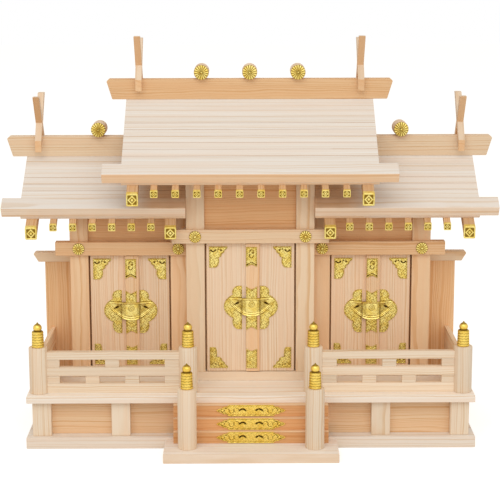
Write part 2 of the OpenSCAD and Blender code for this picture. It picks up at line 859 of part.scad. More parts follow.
module ridge_logs() {
  color(wood) placed() for (p = log_places) difference() {
    translate([p[0], ridge_y + log_l / 2, p[1] + log_r - log_flat])
      rotate([90, 0, 0]) cylinder(r = log_r, h = log_l);
    block([p[0] - log_r, ridge_y - log_l, p[1] - log_r], [p[0] + log_r, ridge_y + log_l, p[1]]);
  }
}

module ridge_log_discs() {
  color(gilt) placed() for (p = log_places, s = [-1, 1])
    translate([p[0], ridge_y + s * (log_l + log_disc_t) / 2, p[1] + log_r - log_flat])
      rotate([90, 0, 0]) cylinder(r = log_r - log_flat, h = log_disc_t, center = true);
}

// One bar of a forked finial, leaning over the ridge, with a plumb foot and a level tip;
// way is -1 where its tip leans towards the front, 1 towards the back; tips are the heights of the two
module finial_bar(z, way, foot, tips) {
  cross = z + finial_cross;
  half = finial_d / 2 / cos(finial_lean);
  tip_z = z + (way < 0 ? tips[0] : tips[1]);
  foot_z = z - foot;
  function at(level, side) = [ridge_y + way * (level - cross) * tan(finial_lean) + side * way * half, level];
  polygon([at(foot_z, -1), at(foot_z - 2 * half / tan(finial_lean), 1), at(tip_z, 1), at(tip_z, -1)]);
}

// The bar at x, halved where it crosses the other bar and notched over the ridge
module finial(x, z, way, foot, tips) {
  difference() {
    along_x(x - finial_w / 2, x + finial_w / 2) finial_bar(z, way, foot, tips);
    along_x(way < 0 ? x : x - finial_w, way < 0 ? x + finial_w : x) finial_bar(z, -way, foot, tips);
    block([x - finial_w, ridge_y - ridge_t / 2, z - ridge_h], [x + finial_w, ridge_y + ridge_t / 2, z]);
  }
}

module finials(way) {
  color(wood) placed() for (s = [-1, 1]) {
    finial(s * finial_x, centre_ridge_top, way, finial_foot, [finial_h, back_finial_h]);
    finial(s * side_finial_x, side_ridge_top, way, side_finial_foot, [side_finial_h, side_back_finial_h]);
  }
}

module finials_forward() { finials(-1); }
module finials_backward() { finials(1); }

// A leaf hung at the side hand of a doorway; the right leaf carries the batten
module leaf(mid, opening, front, h, hand) {
  edge = opening / 2 - hinge_gap;
  face = front + door_setback;
  z0 = door_z + leaf_gap;
  z1 = door_z + h - leaf_gap;
  pin_x = mid + hand * (edge - leaf_inset);
  color(pale_wood) placed() {
    block([mid + min(hand * edge, hand * seam_gap / 2), hand < 0 ? face + lap_clear : face, z0],
      [mid + max(hand * edge, hand * seam_gap / 2), face + leaf_t, z1]);
    if (hand > 0)
      block([mid - batten_lap, face - batten_t, z0], [mid - batten_lap + batten_w, face, z1]);
    translate([pin_x, front + pin_setback, z0 - leaf_gap - pin_len])
      cylinder(r = pin_r, h = h + 2 * pin_len);
  }
}

module centre_door_left() { leaf(0, centre_opening, centre_front, centre_door_h, -1); }
module centre_door_right() { leaf(0, centre_opening, centre_front, centre_door_h, 1); }
module left_door_left() { leaf(-side_mid, side_opening, side_front, side_door_h, -1); }
module left_door_right() { leaf(-side_mid, side_opening, side_front, side_door_h, 1); }
module right_door_left() { leaf(side_mid, side_opening, side_front, side_door_h, -1); }
module right_door_right() { leaf(side_mid, side_opening, side_front, side_door_h, 1); }

stair_landing();
base_board();
plinth_posts();
plinth_panels();
veranda_floor();
stair_step_low();
stair_step_mid();
stair_step_top();
riser_plates();
stair_posts();
rail_posts();
post_caps();
front_rails();
rail_struts();
side_boards();
wing_panels();
wing_caps();
centre_sill();
side_sills();
centre_pillars();
side_pillars();
lintels();
lintel_studs();
door_heads();
upper_walls();
side_walls();
centre_back_wall();
side_back_walls();
centre_roof_front();
centre_roof_back();
side_roof_fronts();
side_roof_backs();
eave_boards();
centre_ridge();
side_ridges();
rafters();
gable_rafters();
rafter_caps();
ridge_logs();
ridge_log_discs();
finials_forward();
finials_backward();
centre_door_left();
centre_door_right();
left_door_left();
left_door_right();
right_door_left();
right_door_right();
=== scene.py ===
# Kamidana of plain cypress with gilt fittings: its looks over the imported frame, in metres, doors facing -Y
import json
import math
import bpy
import numpy as np
from mathutils import Matrix, Vector


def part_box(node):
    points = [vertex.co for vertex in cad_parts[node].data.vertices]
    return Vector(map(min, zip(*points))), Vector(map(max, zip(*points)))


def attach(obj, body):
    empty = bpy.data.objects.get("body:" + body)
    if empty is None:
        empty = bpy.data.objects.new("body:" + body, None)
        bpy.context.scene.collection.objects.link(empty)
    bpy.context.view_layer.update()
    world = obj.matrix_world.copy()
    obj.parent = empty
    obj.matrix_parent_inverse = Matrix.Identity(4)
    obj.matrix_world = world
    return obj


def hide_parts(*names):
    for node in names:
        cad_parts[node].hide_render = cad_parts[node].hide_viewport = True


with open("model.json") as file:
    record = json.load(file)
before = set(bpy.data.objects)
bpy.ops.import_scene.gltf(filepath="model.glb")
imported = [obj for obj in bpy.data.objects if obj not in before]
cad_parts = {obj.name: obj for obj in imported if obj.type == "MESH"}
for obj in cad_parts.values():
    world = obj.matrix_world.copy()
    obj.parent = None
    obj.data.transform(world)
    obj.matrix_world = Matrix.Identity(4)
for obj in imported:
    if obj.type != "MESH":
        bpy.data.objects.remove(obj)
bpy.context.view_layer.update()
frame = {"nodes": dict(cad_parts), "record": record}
mm = 0.001
sameCorner = 0.00001  # corners closer than this are one
onPlane = 2 * sameCorner  # points closer than this to a plane lie on it
leastBend = 1e-9  # in square metres: an outline that bends less runs straight on
dice = np.random.default_rng(11)
record = frame["record"]
slotOf = {part["node"]: part["material_slot"] for part in record["subparts"]}
bodyOf = {node: body for body, nodes in record["behaviour"]["bodies"].items() for node in nodes}
axes = {"x": (0, 1, 2), "y": (1, 2, 0), "z": (2, 0, 1)}  # an axis and the two across it, right-handed
ridgeLow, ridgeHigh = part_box("centre_ridge")
ridgeMiddle = (ridgeLow[1] + ridgeHigh[1]) / 2
print("frame:", len(frame["nodes"]), "nodes")


# Reading the frame

def solidsOf(node):
    # corners at one place are one point, and points joined by triangles are one solid; sorted left to right
    mesh = frame["nodes"][node].data
    mesh.calc_loop_triangles()
    places = np.empty(len(mesh.vertices) * 3, dtype=np.float32)
    corners = np.empty(len(mesh.loop_triangles) * 3, dtype=np.int32)
    mesh.vertices.foreach_get("co", places)
    mesh.loop_triangles.foreach_get("vertices", corners)
    cells, pointOf = np.unique(np.round(places.reshape(-1, 3) / sameCorner), axis=0, return_inverse=True)
    triangles = pointOf.ravel()[corners].reshape(-1, 3)
    group = np.arange(len(cells))
    while True:
        lowest = group.copy()
        np.minimum.at(lowest, triangles.ravel(), np.repeat(group[triangles].min(axis=1), 3))
        if np.array_equal(lowest, group):
            break
        group = lowest
    solids = []
    for one in np.unique(group):
        inside = group == one
        points = cells[inside] * sameCorner
        renumber = np.cumsum(inside) - 1
        solids.append({"points": points, "low": points.min(axis=0), "high": points.max(axis=0),
                       "triangles": renumber[triangles[inside[triangles[:, 0]]]]})
    return sorted(solids, key=lambda solid: tuple((solid["low"] + solid["high"]).round(5)))


def endOutline(solid, axis):
    # rim of the triangles on the solid's low end, walked round once; true corners only, counter-clockwise
    along, across, up = axes[axis]
    onEnd = solid["points"][:, along] < solid["low"][along] + onPlane
    cap = solid["triangles"][onEnd[solid["triangles"]].all(axis=1)]
    edges = np.vstack([cap[:, [0, 1]], cap[:, [1, 2]], cap[:, [2, 0]]])
    known = {tuple(edge) for edge in edges.tolist()}
    nextOf = {a: b for a, b in known if (b, a) not in known}
    walk = [next(iter(nextOf))]
    while nextOf[walk[-1]] != walk[0]:
        walk.append(nextOf[walk[-1]])
    outline = solid["points"][walk][:, [across, up]]
    before = outline - np.roll(outline, 1, axis=0)
    after = np.roll(outline, -1, axis=0) - outline
    bend = before[:, 0] * after[:, 1] - before[:, 1] * after[:, 0]
    outline = outline[np.abs(bend) > leastBend]
    x, y = outline.T
    area = (x * np.roll(y, -1) - y * np.roll(x, -1)).sum()
    return outline if area > 0 else outline[::-1]


def boxOutline(solid, axis):
    # the four corners of the solid's box across the axis, counter-clockwise
    across, up = axes[axis][1:]
    low, high = solid["low"], solid["high"]
    return np.array([[low[across], low[up]], [high[across], low[up]],
                     [high[across], high[up]], [low[across], high[up]]])


# Surfaces

def unit(vectors):
    return vectors / np.linalg.norm(vectors, axis=-1, keepdims=True)


def drawnIn(outline, inset):
    # each corner moves along its mitre until both its edges lie the inset further in
    edge = unit(np.roll(outline, -1, axis=0) - outline)
    inward = np.column_stack([-edge[:, 1], edge[:, 0]])
    before = np.roll(inward, 1, axis=0)
    return outline + inset * (before + inward) / (1 + (before * inward).sum(axis=1, keepdims=True))


mostOfEdge = 0.4  # of an edge that one softened corner may take
turnUnder = 0.3  # slope at which an edge has fully turned up or under
# reach of the centre eave's painted shadow from the inner end of the side boards
eaveShadowReach = 60 * mm
endSteps = np.array([0, 0.29, 1])  # of a quarter round: along from a board's end, backwards in from its side


def softCorners(outline, cut):
    # each corner becomes three points of the parabola that leaves one edge and meets the next
    back = np.roll(outline, 1, axis=0) - outline
    ahead = np.roll(outline, -1, axis=0) - outline
    backLength = np.linalg.norm(back, axis=1, keepdims=True)
    aheadLength = np.linalg.norm(ahead, axis=1, keepdims=True)
    reach = np.minimum(cut, mostOfEdge * np.minimum(backLength, aheadLength))
    share = np.array([0.0, 0.5, 1.0])[None, :, None]
    curve = (outline[:, None] + (back / backLength * reach)[:, None] * (1 - share) ** 2
             + (ahead / aheadLength * reach)[:, None] * share ** 2)
    return curve.reshape(-1, 2)


def underShade(outline, amount):
    # painted light and shade by facing, on a Y-Z outline: the amount where an edge looks down, half of it
    # where it is upright, nothing where it looks up; three points a corner, as softCorners makes them
    edge = unit(np.roll(outline, -1, axis=0) - outline)
    value = amount * np.clip((turnUnder + edge[:, 0]) / (2 * turnUnder), 0, 1)
    before = np.roll(value, 1)
    return np.stack([before, (before + value) / 2, value], axis=1).ravel()


def eaveShadowWarmth(rings, amount):
    # painted shadow of the centre eave: on boards along X, warmth falls from the end nearer the middle to one
    # more ring at the reach
    ends = rings[[0, -1], 0, 0]
    inner = ends[np.abs(ends).argmin()]
    last = rings[2] * [0, 1, 1] + [inner + np.sign(inner) * eaveShadowReach, 0, 0]
    rings = np.insert(rings, 3, last, axis=0)
    return rings, amount * np.clip(1 - np.abs(rings[..., 0] - inner) / eaveShadowReach, 0, 1)


def boardRings(outline, axis, start, end, soft, cornered=True):
    # the outline carried from start to end, drawn in by a quarter round at both ends
    along, across, up = axes[axis]
    inset = soft * np.concatenate([endSteps[::-1], endSteps])
    place = np.concatenate([start + soft * endSteps, end - soft * endSteps[::-1]])
    flat = np.stack([drawnIn(outline, step) for step in inset])
    if cornered:
        flat = np.stack([softCorners(ring, soft) for ring in flat])
    rings = np.empty((*flat.shape[:2], 3))
    rings[..., along] = place[:, None]
    rings[..., across] = flat[..., 0]
    rings[..., up] = flat[..., 1]
    return rings


def carried(rings, **fields):
    # quads between neighbouring rings and one face over each end, turned outwards by the sign of the volume
    count, size = rings.shape[:2]
    at = np.arange(count * size).reshape(count, size)
    ahead = np.roll(at, -1, axis=1)
    quads = np.stack([at[:-1], ahead[:-1], ahead[1:], at[1:]], axis=-1).reshape(-1, 4)
    points = rings.reshape(-1, 3)
    middle = points - points.mean(axis=0)
    corner = middle[quads]
    volume = (np.cross(corner[:, 0], corner[:, 1]) * corner[:, 2]).sum()
    volume += (np.cross(corner[:, 0], corner[:, 2]) * corner[:, 3]).sum()
    faces = quads.tolist() + [at[0, ::-1].tolist(), at[-1].tolist()]
    if volume < 0:
        faces = [face[::-1] for face in faces]
    fields = {name: np.broadcast_to(value, (count, size)).ravel() for name, value in fields.items()}
    return {"points": points, "faces": faces, **fields}


def turned(profile, base, sides=48, **fields):
    # the profile's radius and height swept round a vertical line through the base point
    angle = np.linspace(0, 2 * np.pi, sides, endpoint=False)
    radius, height = profile.T
    rings = np.empty((len(profile), sides, 3))
    rings[..., 0] = base[0] + radius[:, None] * np.cos(angle)
    rings[..., 1] = base[1] + radius[:, None] * np.sin(angle)
    rings[..., 2] = base[2] + height[:, None]
    return carried(rings, **fields)


# How a board is sawn: distance of the pith in metres, angle to it from the board's width and its spread
sawing = {
    "quarter": dict(pith=(0.07, 0.16), angle=0.0, spread=0.4),
    "plain": dict(pith=(0.018, 0.04), angle=math.pi / 2, spread=0.5),
}
trunkLength = 3  # metres along which the boards are picked
level, plumb = (1, 0, 0), (0, 0, 1)  # directions of the grain


def grained(shell, grain, sawn="quarter", spread=0.03, tone=0.0, warmth=0.0):
    # board coordinates: along the grain, then across it from a pith beside or behind the face, as it is sawn
    along = unit(np.asarray(grain, float))
    spare = np.array([0.0, 0.0, 1.0]) if abs(along[2]) < 0.7 else np.array([1.0, 0.0, 0.0])
    first = unit(np.cross(spare, along))
    second = np.cross(along, first)
    local = (shell["points"] - shell["points"].mean(axis=0)) @ np.column_stack([along, first, second])
    wide, thin = (1, 2) if np.ptp(local[:, 1]) > np.ptp(local[:, 2]) else (2, 1)
    cut = sawing[sawn]
    distance = dice.uniform(*cut["pith"])
    slant = cut["angle"] + dice.uniform(-cut["spread"], cut["spread"])
    local[:, wide] += distance * math.cos(slant)
    local[:, thin] += distance * math.sin(slant)
    local[:, 0] += dice.uniform(0, trunkLength)
    flat = np.zeros(len(local))
    shell["grain"] = local
    shell["tone"] = shell.get("tone", flat) + tone + dice.normal(0, spread)
    shell["warmth"] = shell.get("warmth", flat) + warmth
    shell.setdefault("seam", flat)
    return shell


def putPiece(name, shells, material, body, slot, replaces=(), smooth=0):
    # joins the shells into one mesh at the origin, with their fields as point attributes; edges that bend by
    # fewer degrees than smooth are shaded round
    starts = np.cumsum([0] + [len(shell["points"]) for shell in shells])
    faces = [[corner + int(start) for corner in face] for shell, start in zip(shells, starts)
             for face in shell["faces"]]
    mesh = bpy.data.meshes.new(name)
    mesh.from_pydata(np.vstack([shell["points"] for shell in shells]).tolist(), [], faces)
    for field in ("grain", "tone", "warmth", "seam", "recess"):
        if field in shells[0]:
            values = np.concatenate([shell[field] for shell in shells]).astype(np.float32)
            kind, key = ("FLOAT_VECTOR", "vector") if values.ndim == 2 else ("FLOAT", "value")
            mesh.attributes.new(field, kind, "POINT").data.foreach_set(key, values.ravel())
    if smooth:
        mesh.shade_smooth()
        mesh.set_sharp_from_angle(angle=math.radians(smooth))
    mesh.materials.append(material)
    piece = bpy.data.objects.new(name, mesh)
    bpy.context.scene.collection.objects.link(piece)
    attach(piece, body)
    if replaces:
        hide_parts(*replaces)


def dress(node, shells, material, smooth=0):
    # a piece in place of a node of the frame, on its body
    putPiece(node + "_dressed", shells, material, bodyOf[node], slotOf[node], [node], smooth)


# Shader groups

def tint(red, green, blue):
    # a colour as the eye reads it, 0 to 255, in the shader's linear values
    shown = np.array([red, green, blue]) / 255
    linear = np.where(shown <= 0.04045, shown / 12.92, ((shown + 0.055) / 1.055) ** 2.4)
    return (*linear.tolist(), 1.0)


def plug(tree, value, socket):
    # an output is linked, a plain value is set
    if isinstance(value, bpy.types.NodeSocket):
        tree.links.new(value, socket)
    else:
        socket.default_value = value


def calc(tree, operation, *values, clamp=False):
    node = tree.nodes.new("ShaderNodeMath")
    node.operation = operation
    node.use_clamp = clamp
    for value, socket in zip(values, node.inputs):
        plug(tree, value, socket)
    return node.outputs[0]


def vectorCalc(tree, operation, first, second):
    node = tree.nodes.new("ShaderNodeVectorMath")
    node.operation = operation
    plug(tree, first, node.inputs[0])
    plug(tree, second, node.inputs["Scale" if operation == "SCALE" else 1])
    return node.outputs[0]


def noise(tree, vector, stretch, detail=2.0):
    node = tree.nodes.new("ShaderNodeTexNoise")
    plug(tree, vectorCalc(tree, "MULTIPLY", vector, stretch), node.inputs["Vector"])
    node.inputs["Scale"].default_value = 1.0
    node.inputs["Detail"].default_value = detail
    return node.outputs


def ramp(tree, value, low, high, start=0.0, end=1.0):
    node = tree.nodes.new("ShaderNodeMapRange")
    node.interpolation_type = "SMOOTHSTEP"
    for socket, number in zip(node.inputs, (value, low, high, start, end)):
        plug(tree, number, socket)
    return node.outputs[0]


def blend(tree, share, first, second):
    node = tree.nodes.new("ShaderNodeMix")
    node.data_type = "RGBA"
    plug(tree, share, node.inputs[0])
    plug(tree, first, node.inputs[6])
    plug(tree, second, node.inputs[7])
    return node.outputs[2]


def newGroup(name, inputs, outputs):
    tree = bpy.data.node_groups.new(name, "ShaderNodeTree")
    for label, kind in inputs:
        tree.interface.new_socket(label, in_out="INPUT", socket_type="NodeSocket" + kind)
    for label, kind in outputs:
        tree.interface.new_socket(label, in_out="OUTPUT", socket_type="NodeSocket" + kind)
    return tree, tree.nodes.new("NodeGroupInput").outputs, tree.nodes.new("NodeGroupOutput").inputs


# Cypress: noise per mm along and across the grain; where late wood starts, is full and ends in a ring;
# shares of fibres, bands and seams in the colour; what each colour keeps at full warmth, which is partly
# warmer heartwood and partly painted shade
cypress = dict(drift=(0.009, 0.03, 0.03), fibre=(0.03, 1.7, 1.7), band=(0.004, 0.13, 0.13),
               years=(0.11, 1.0, 1.0), unevenYears=5.0, lateStart=0.35, lateFull=0.9, lateEnd=0.92,
               heavyPower=1.6, lightestLate=0.15, fibreShare=0.5, bandStart=0.38, bandFull=0.72,
               bandShare=0.75, seamShare=0.75, seam=(150, 98, 56), heartAndShade=(1.0, 0.78, 0.57), roughness=0.6,
               roughFibre=0.25, fibreHeight=0.6)


def cypressGroup():
    # growth rings are cylinders about the pith: the distance from it, bent by noise, is cut into rings whose
    # late wood darkens towards the edge; fine fibres and broad bands run along the grain
    tree, given, result = newGroup(
        "cypressGrain",
        [("Grain", "Vector"), ("Tone", "Float"), ("Warmth", "Float"), ("Seam", "Float"), ("Early", "Color"),
         ("Late", "Color"), ("Flush", "Color"), ("Ring", "Float"), ("Waver", "Float"), ("Figure", "Float")],
        [("Color", "Color"), ("Roughness", "Float"), ("Height", "Float")])
    grain = vectorCalc(tree, "SCALE", given["Grain"], 1 / mm)
    drift = noise(tree, grain, cypress["drift"], 3.0)["Color"]
    drift = vectorCalc(tree, "SUBTRACT", drift, (0.5, 0.5, 0.5))
    bent = vectorCalc(tree, "ADD", grain, vectorCalc(tree, "SCALE", drift, given["Waver"]))
    parts = tree.nodes.new("ShaderNodeSeparateXYZ")
    plug(tree, bent, parts.inputs[0])
    across = calc(tree, "POWER", parts.outputs["Y"], 2.0)
    deep = calc(tree, "POWER", parts.outputs["Z"], 2.0)
    radius = calc(tree, "SQRT", calc(tree, "ADD", across, deep))
    years = noise(tree, vectorCalc(tree, "SCALE", (1.0, 0.0, 0.0), radius), cypress["years"], 1.0)["Fac"]
    uneven = calc(tree, "MULTIPLY", years, cypress["unevenYears"])
    phase = calc(tree, "ADD", calc(tree, "DIVIDE", radius, given["Ring"]), uneven)
    weather = tree.nodes.new("ShaderNodeTexWhiteNoise")
    weather.noise_dimensions = "1D"
    plug(tree, calc(tree, "FLOOR", phase), weather.inputs["W"])
    saw = calc(tree, "FRACT", phase)
    rise = ramp(tree, saw, cypress["lateStart"], cypress["lateFull"])
    late = calc(tree, "MULTIPLY", rise, ramp(tree, saw, cypress["lateEnd"], 1.0, 1.0, 0.0))
    heavy = calc(tree, "POWER", weather.outputs["Value"], cypress["heavyPower"])
    heavy = calc(tree, "MULTIPLY_ADD", heavy, 1 - cypress["lightestLate"], cypress["lightestLate"])
    late = calc(tree, "MULTIPLY", late, heavy)
    fibre = calc(tree, "SUBTRACT", noise(tree, grain, cypress["fibre"], 3.0)["Fac"], 0.5)
    band = noise(tree, grain, cypress["band"], 2.0)["Fac"]
    band = ramp(tree, band, cypress["bandStart"], cypress["bandFull"], 0.0, cypress["bandShare"])
    line = calc(tree, "MULTIPLY_ADD", fibre, cypress["fibreShare"], late)
    line = calc(tree, "MULTIPLY", line, given["Figure"], clamp=True)
    colour = blend(tree, line, given["Early"], given["Late"])
    colour = blend(tree, band, colour, given["Flush"])
    colour = vectorCalc(tree, "SCALE", colour, calc(tree, "ADD", given["Tone"], 1.0))
    # the warmth field brings both warmer wood and painted shade; at full warmth the colour is scaled by
    # heartAndShade
    warmed = vectorCalc(tree, "MULTIPLY", colour, cypress["heartAndShade"])
    colour = blend(tree, given["Warmth"], colour, warmed)
    seam = calc(tree, "MULTIPLY", given["Seam"], cypress["seamShare"], clamp=True)
    colour = blend(tree, seam, colour, tint(*cypress["seam"]))
    plug(tree, colour, result["Color"])
    rough = calc(tree, "MULTIPLY_ADD", fibre, cypress["roughFibre"], cypress["roughness"])
    plug(tree, rough, result["Roughness"])
    plug(tree, calc(tree, "MULTIPLY_ADD", fibre, cypress["fibreHeight"], line), result["Height"])
    return tree


# Gilt sheet: noise per mm, where its clouds start and are full, and from which recess on it the painted shade
# turns to the near black of a pierced hole
sheet = dict(skin=(1.1, 1.1, 1.1), cloud=(0.16, 0.16, 0.16), cloudStart=0.4, cloudFull=0.65, skinShare=0.9,
             pierceStart=1.1, pierceFull=1.7, roughness=0.3, roughPressed=0.25)


def giltGroup():
    # pear-skin grain and slow clouds over thin sheet; painted shade, olive where pressed in, near black where
    # pierced
    tree, given, result = newGroup(
        "giltSheet", [("Recess", "Float"), ("Bright", "Color"), ("Rich", "Color"), ("Pressed", "Color"),
                      ("Pierced", "Color")],
        [("Color", "Color"), ("Roughness", "Float"), ("Height", "Float")])
    place = vectorCalc(tree, "SCALE", tree.nodes.new("ShaderNodeTexCoord").outputs["Object"], 1 / mm)
    skin = noise(tree, place, sheet["skin"], 3.0)["Fac"]
    cloud = noise(tree, place, sheet["cloud"], 2.0)["Fac"]
    cloud = ramp(tree, cloud, sheet["cloudStart"], sheet["cloudFull"])
    colour = blend(tree, cloud, given["Bright"], given["Rich"])
    pressed = calc(tree, "MULTIPLY_ADD", skin, sheet["skinShare"], -sheet["skinShare"] / 2)
    pressed = calc(tree, "ADD", given["Recess"], pressed, clamp=True)
    colour = blend(tree, pressed, colour, given["Pressed"])
    pierced = ramp(tree, given["Recess"], sheet["pierceStart"], sheet["pierceFull"])
    colour = blend(tree, pierced, colour, given["Pierced"])
    plug(tree, colour, result["Color"])
    rough = calc(tree, "MULTIPLY_ADD", pressed, sheet["roughPressed"], sheet["roughness"])
    plug(tree, rough, result["Roughness"])
    plug(tree, skin, result["Height"])
    return tree


cypressGrain = cypressGroup()
giltSheet = giltGroup()
bumpLook = {"Strength": 0.35, "Distance": 0.15 * mm}


def newMaterial(name, group, fields, values, finish):
    # the group reads the piece's fields and the values; the finish is what the shader itself keeps
    material = bpy.data.materials.new(name)
    material.use_nodes = True
    tree = material.node_tree
    shader = tree.nodes["Principled BSDF"]
    surface = tree.nodes.new("ShaderNodeGroup")
    surface.node_tree = group
    bump = tree.nodes.new("ShaderNodeBump")
    for socket, field in fields.items():
        own = tree.nodes.new("ShaderNodeAttribute")
        own.attribute_name = field
        tree.links.new(own.outputs["Vector" if field == "grain" else "Fac"], surface.inputs[socket])
    for node, settings in ((surface, values), (bump, bumpLook), (shader, finish)):
        for socket, value in settings.items():
            node.inputs[socket].default_value = value
    tree.links.new(surface.outputs["Height"], bump.inputs["Height"])
    tree.links.new(surface.outputs["Color"], shader.inputs["Base Color"])
    tree.links.new(surface.outputs["Roughness"], shader.inputs["Roughness"])
    tree.links.new(bump.outputs["Normal"], shader.inputs["Normal"])
    return material


# Woods: colour of the early wood, ring width and waver in mm, strength of the figure
woods = {
    "roof": dict(early=(233, 227, 219), ring=2.2, waver=4, figure=1.5),
    "floor": dict(early=(246, 239, 229), ring=2.4, waver=5, figure=1.4),
    "pale": dict(early=(238, 221, 198), ring=2.4, waver=6, figure=1.9),
    "plain": dict(early=(236, 212, 181), ring=2.6, waver=6, figure=2.0),
    "strip": dict(early=(236, 203, 165), ring=2.3, waver=9, figure=2.6),
    "warm": dict(early=(235, 196, 151), ring=2.5, waver=12, figure=2.8),
    "panel": dict(early=(225, 179, 131), ring=2.3, waver=9, figure=2.1),
    "door": dict(early=(239, 217, 191), ring=2.8, waver=7, figure=2.6),
}
lateShare, flushShare = np.array([0.86, 0.72, 0.57]), np.array([0.98, 0.89, 0.82])  # of the early wood
woodFields = {"Grain": "grain", "Tone": "tone", "Warmth": "warmth", "Seam": "seam"}
woodFinish = {"Specular IOR Level": 0.2}


def woodMaterial(name, early, ring, waver, figure):
    pale = np.array(tint(*early)[:3])
    values = {"Early": (*pale, 1), "Late": (*pale * lateShare, 1), "Flush": (*pale * flushShare, 1),
              "Ring": ring, "Waver": waver, "Figure": figure}
    return newMaterial(name + "Cypress", cypressGrain, woodFields, values, woodFinish)


wood = {name: woodMaterial(name, **look) for name, look in woods.items()}
# Gilt: where it stands out, its slow clouds, and the painted shade of its pressed ground and pierced holes
gilts = {
    "rich": {"Bright": tint(245, 214, 110), "Rich": tint(236, 199, 88), "Pressed": tint(122, 94, 26),
             "Pierced": tint(34, 24, 8)},
    "pale": {"Bright": tint(240, 222, 136), "Rich": tint(230, 203, 104), "Pressed": tint(140, 110, 38),
             "Pierced": tint(34, 24, 8)},
}
# metal under a thin lacquer, darker at a glancing angle
giltFinish = {"Metallic": 0.6, "Specular IOR Level": 0.5, "Specular Tint": tint(190, 160, 80)}
gilt = {name: newMaterial(name + "Gilt", giltSheet, {"Recess": "recess"}, look, giltFinish)
        for name, look in gilts.items()}
print("materials:", len(woods), "woods and", len(gilts), "gilts")


# Boards whose shape is an outline carried along an axis
# node: wood, softened edge in mm; axis of the outline and direction of the grain where they are not x; how it
# is sawn where not quarter sawn; then lightness, warmth, more of it on the side halls as their painted shade,
# and more of it on edges that look down as painted shade, half of it on upright ones, centre then sides; lift
# makes the same edges lighter as painted light or, below nothing, darker as painted shade; inner is the
# centre eave's painted shadow, as warmth on the top at the inner end
boards = {
    "stair_landing": dict(wood="floor", soft=0.7, tone=0.03, shade=(0.5, 0.5), lift=-0.05),
    "base_board": dict(wood="floor", soft=0.7, tone=-0.08, shade=(0.4, 0.4)),
    "plinth_posts": dict(wood="pale", soft=0.6, axis="z", grain="z"),
    "plinth_panels": dict(wood="strip", soft=0.3, axis="z", grain="long"),
    "veranda_floor": dict(wood="floor", soft=0.6, shade=(0.4, 0.4), lift=-0.1),
    "front_rails": dict(wood="pale", soft=0.6, boxed=True, tone=-0.02),
    "rail_struts": dict(wood="pale", soft=0.4, axis="z", boxed=True, tone=-0.06),
    "side_boards": dict(wood="plain", soft=0.5, axis="y", grain="y", sawn="plain", boxed=True),
    "wing_panels": dict(wood="warm", soft=0.5, axis="z", grain="z", tone=0.04),
    "wing_caps": dict(wood="plain", soft=0.6, axis="y"),
    "centre_sill": dict(wood="pale", soft=0.5),
    "side_sills": dict(wood="pale", soft=0.5),
    "centre_pillars": dict(wood="plain", soft=0.6, grain="z"),
    # the side pillars' warmth and the aside column are painted shade of the side halls, set back under their
    # eaves
    "side_pillars": dict(wood="plain", soft=0.6, grain="z", warmth=0.5),
    "lintels": dict(wood="plain", soft=0.6, axis="z", tone=-0.05, warmth=0.2, aside=0.55),
    "door_heads": dict(wood="plain", soft=0.4, aside=0.5),
    "upper_walls": dict(wood="panel", soft=0.3, tone=0.12),
    "side_walls": dict(wood="warm", soft=0.4, grain="z", sawn="plain"),
    "centre_back_wall": dict(wood="warm", soft=0.4, grain="z", sawn="plain"),
    "side_back_walls": dict(wood="warm", soft=0.4, grain="z", sawn="plain"),
    "eave_boards": dict(wood="roof", soft=0.6, sawn="plain", tone=-0.02, shade=(1.8, 0.55), lift=0.16,
                        inner=2.4),
    "ridge_logs": dict(wood="plain", soft=0.6, axis="y", grain="y", sawn="plain", cornered=False),
}
logSmooth = 25  # degrees: edges of round wood that bend less are smooth


def carriedBoard(solid, soft, axis="x", grain="x", sawn="quarter", boxed=False, cornered=True, tone=0.0,
                 warmth=0.0, aside=0.0, shade=(0.0, 0.0), lift=0.0, inner=0.0):
    # the solid's own end outline, or its box, carried along the axis
    along = axes[axis][0]
    outline = boxOutline(solid, axis) if boxed else endOutline(solid, axis)
    rings = boardRings(outline, axis, solid["low"][along], solid["high"][along], soft * mm, cornered)
    run = int(np.argmax(solid["high"] - solid["low"])) if grain == "long" else "xyz".index(grain)
    offCentre = bool(solid["low"][0] * solid["high"][0] > 0)
    fields = {}
    # painted shade and light by facing: warmer edges that look down, and lift makes them lighter or darker
    if any(shade):
        fields = dict(warmth=underShade(outline, shade[offCentre]), tone=underShade(outline, lift))
    # the centre eave's painted shadow: warmth on the top of the side boards at their inner end
    if inner and offCentre:
        rings, more = eaveShadowWarmth(rings, inner)
        fields["warmth"] = fields["warmth"] + more * (1 - underShade(outline, 1.0))
    shell = carried(rings, **fields)
    # aside adds warmth to the side halls' boards as painted shade, for they sit back under their eaves
    return grained(shell, np.eye(3)[run], sawn, tone=tone, warmth=warmth + aside * offCentre)


for node, look in boards.items():
    look = dict(look)
    timber = wood[look.pop("wood")]
    shells = [carriedBoard(solid, **look) for solid in solidsOf(node)]
    dress(node, shells, timber, 0 if look.get("cornered", True) else logSmooth)
print("boards:", len(boards), "pieces")


# Stair: a warm riser under a thin paler tread
stair = dict(nodes=("stair_step_low", "stair_step_mid", "stair_step_top"), tread=1.4 * mm, proud=0.4 * mm,
             soft=0.4 * mm, warmth=0.35)


def slab(low, high, soft, grain, sawn, **fields):
    # a box with softened edges: its end outline carried along X
    solid = {"low": np.asarray(low), "high": np.asarray(high)}
    rings = boardRings(boxOutline(solid, "x"), "x", low[0], high[0], soft)
    return grained(carried(rings), grain, sawn, **fields)


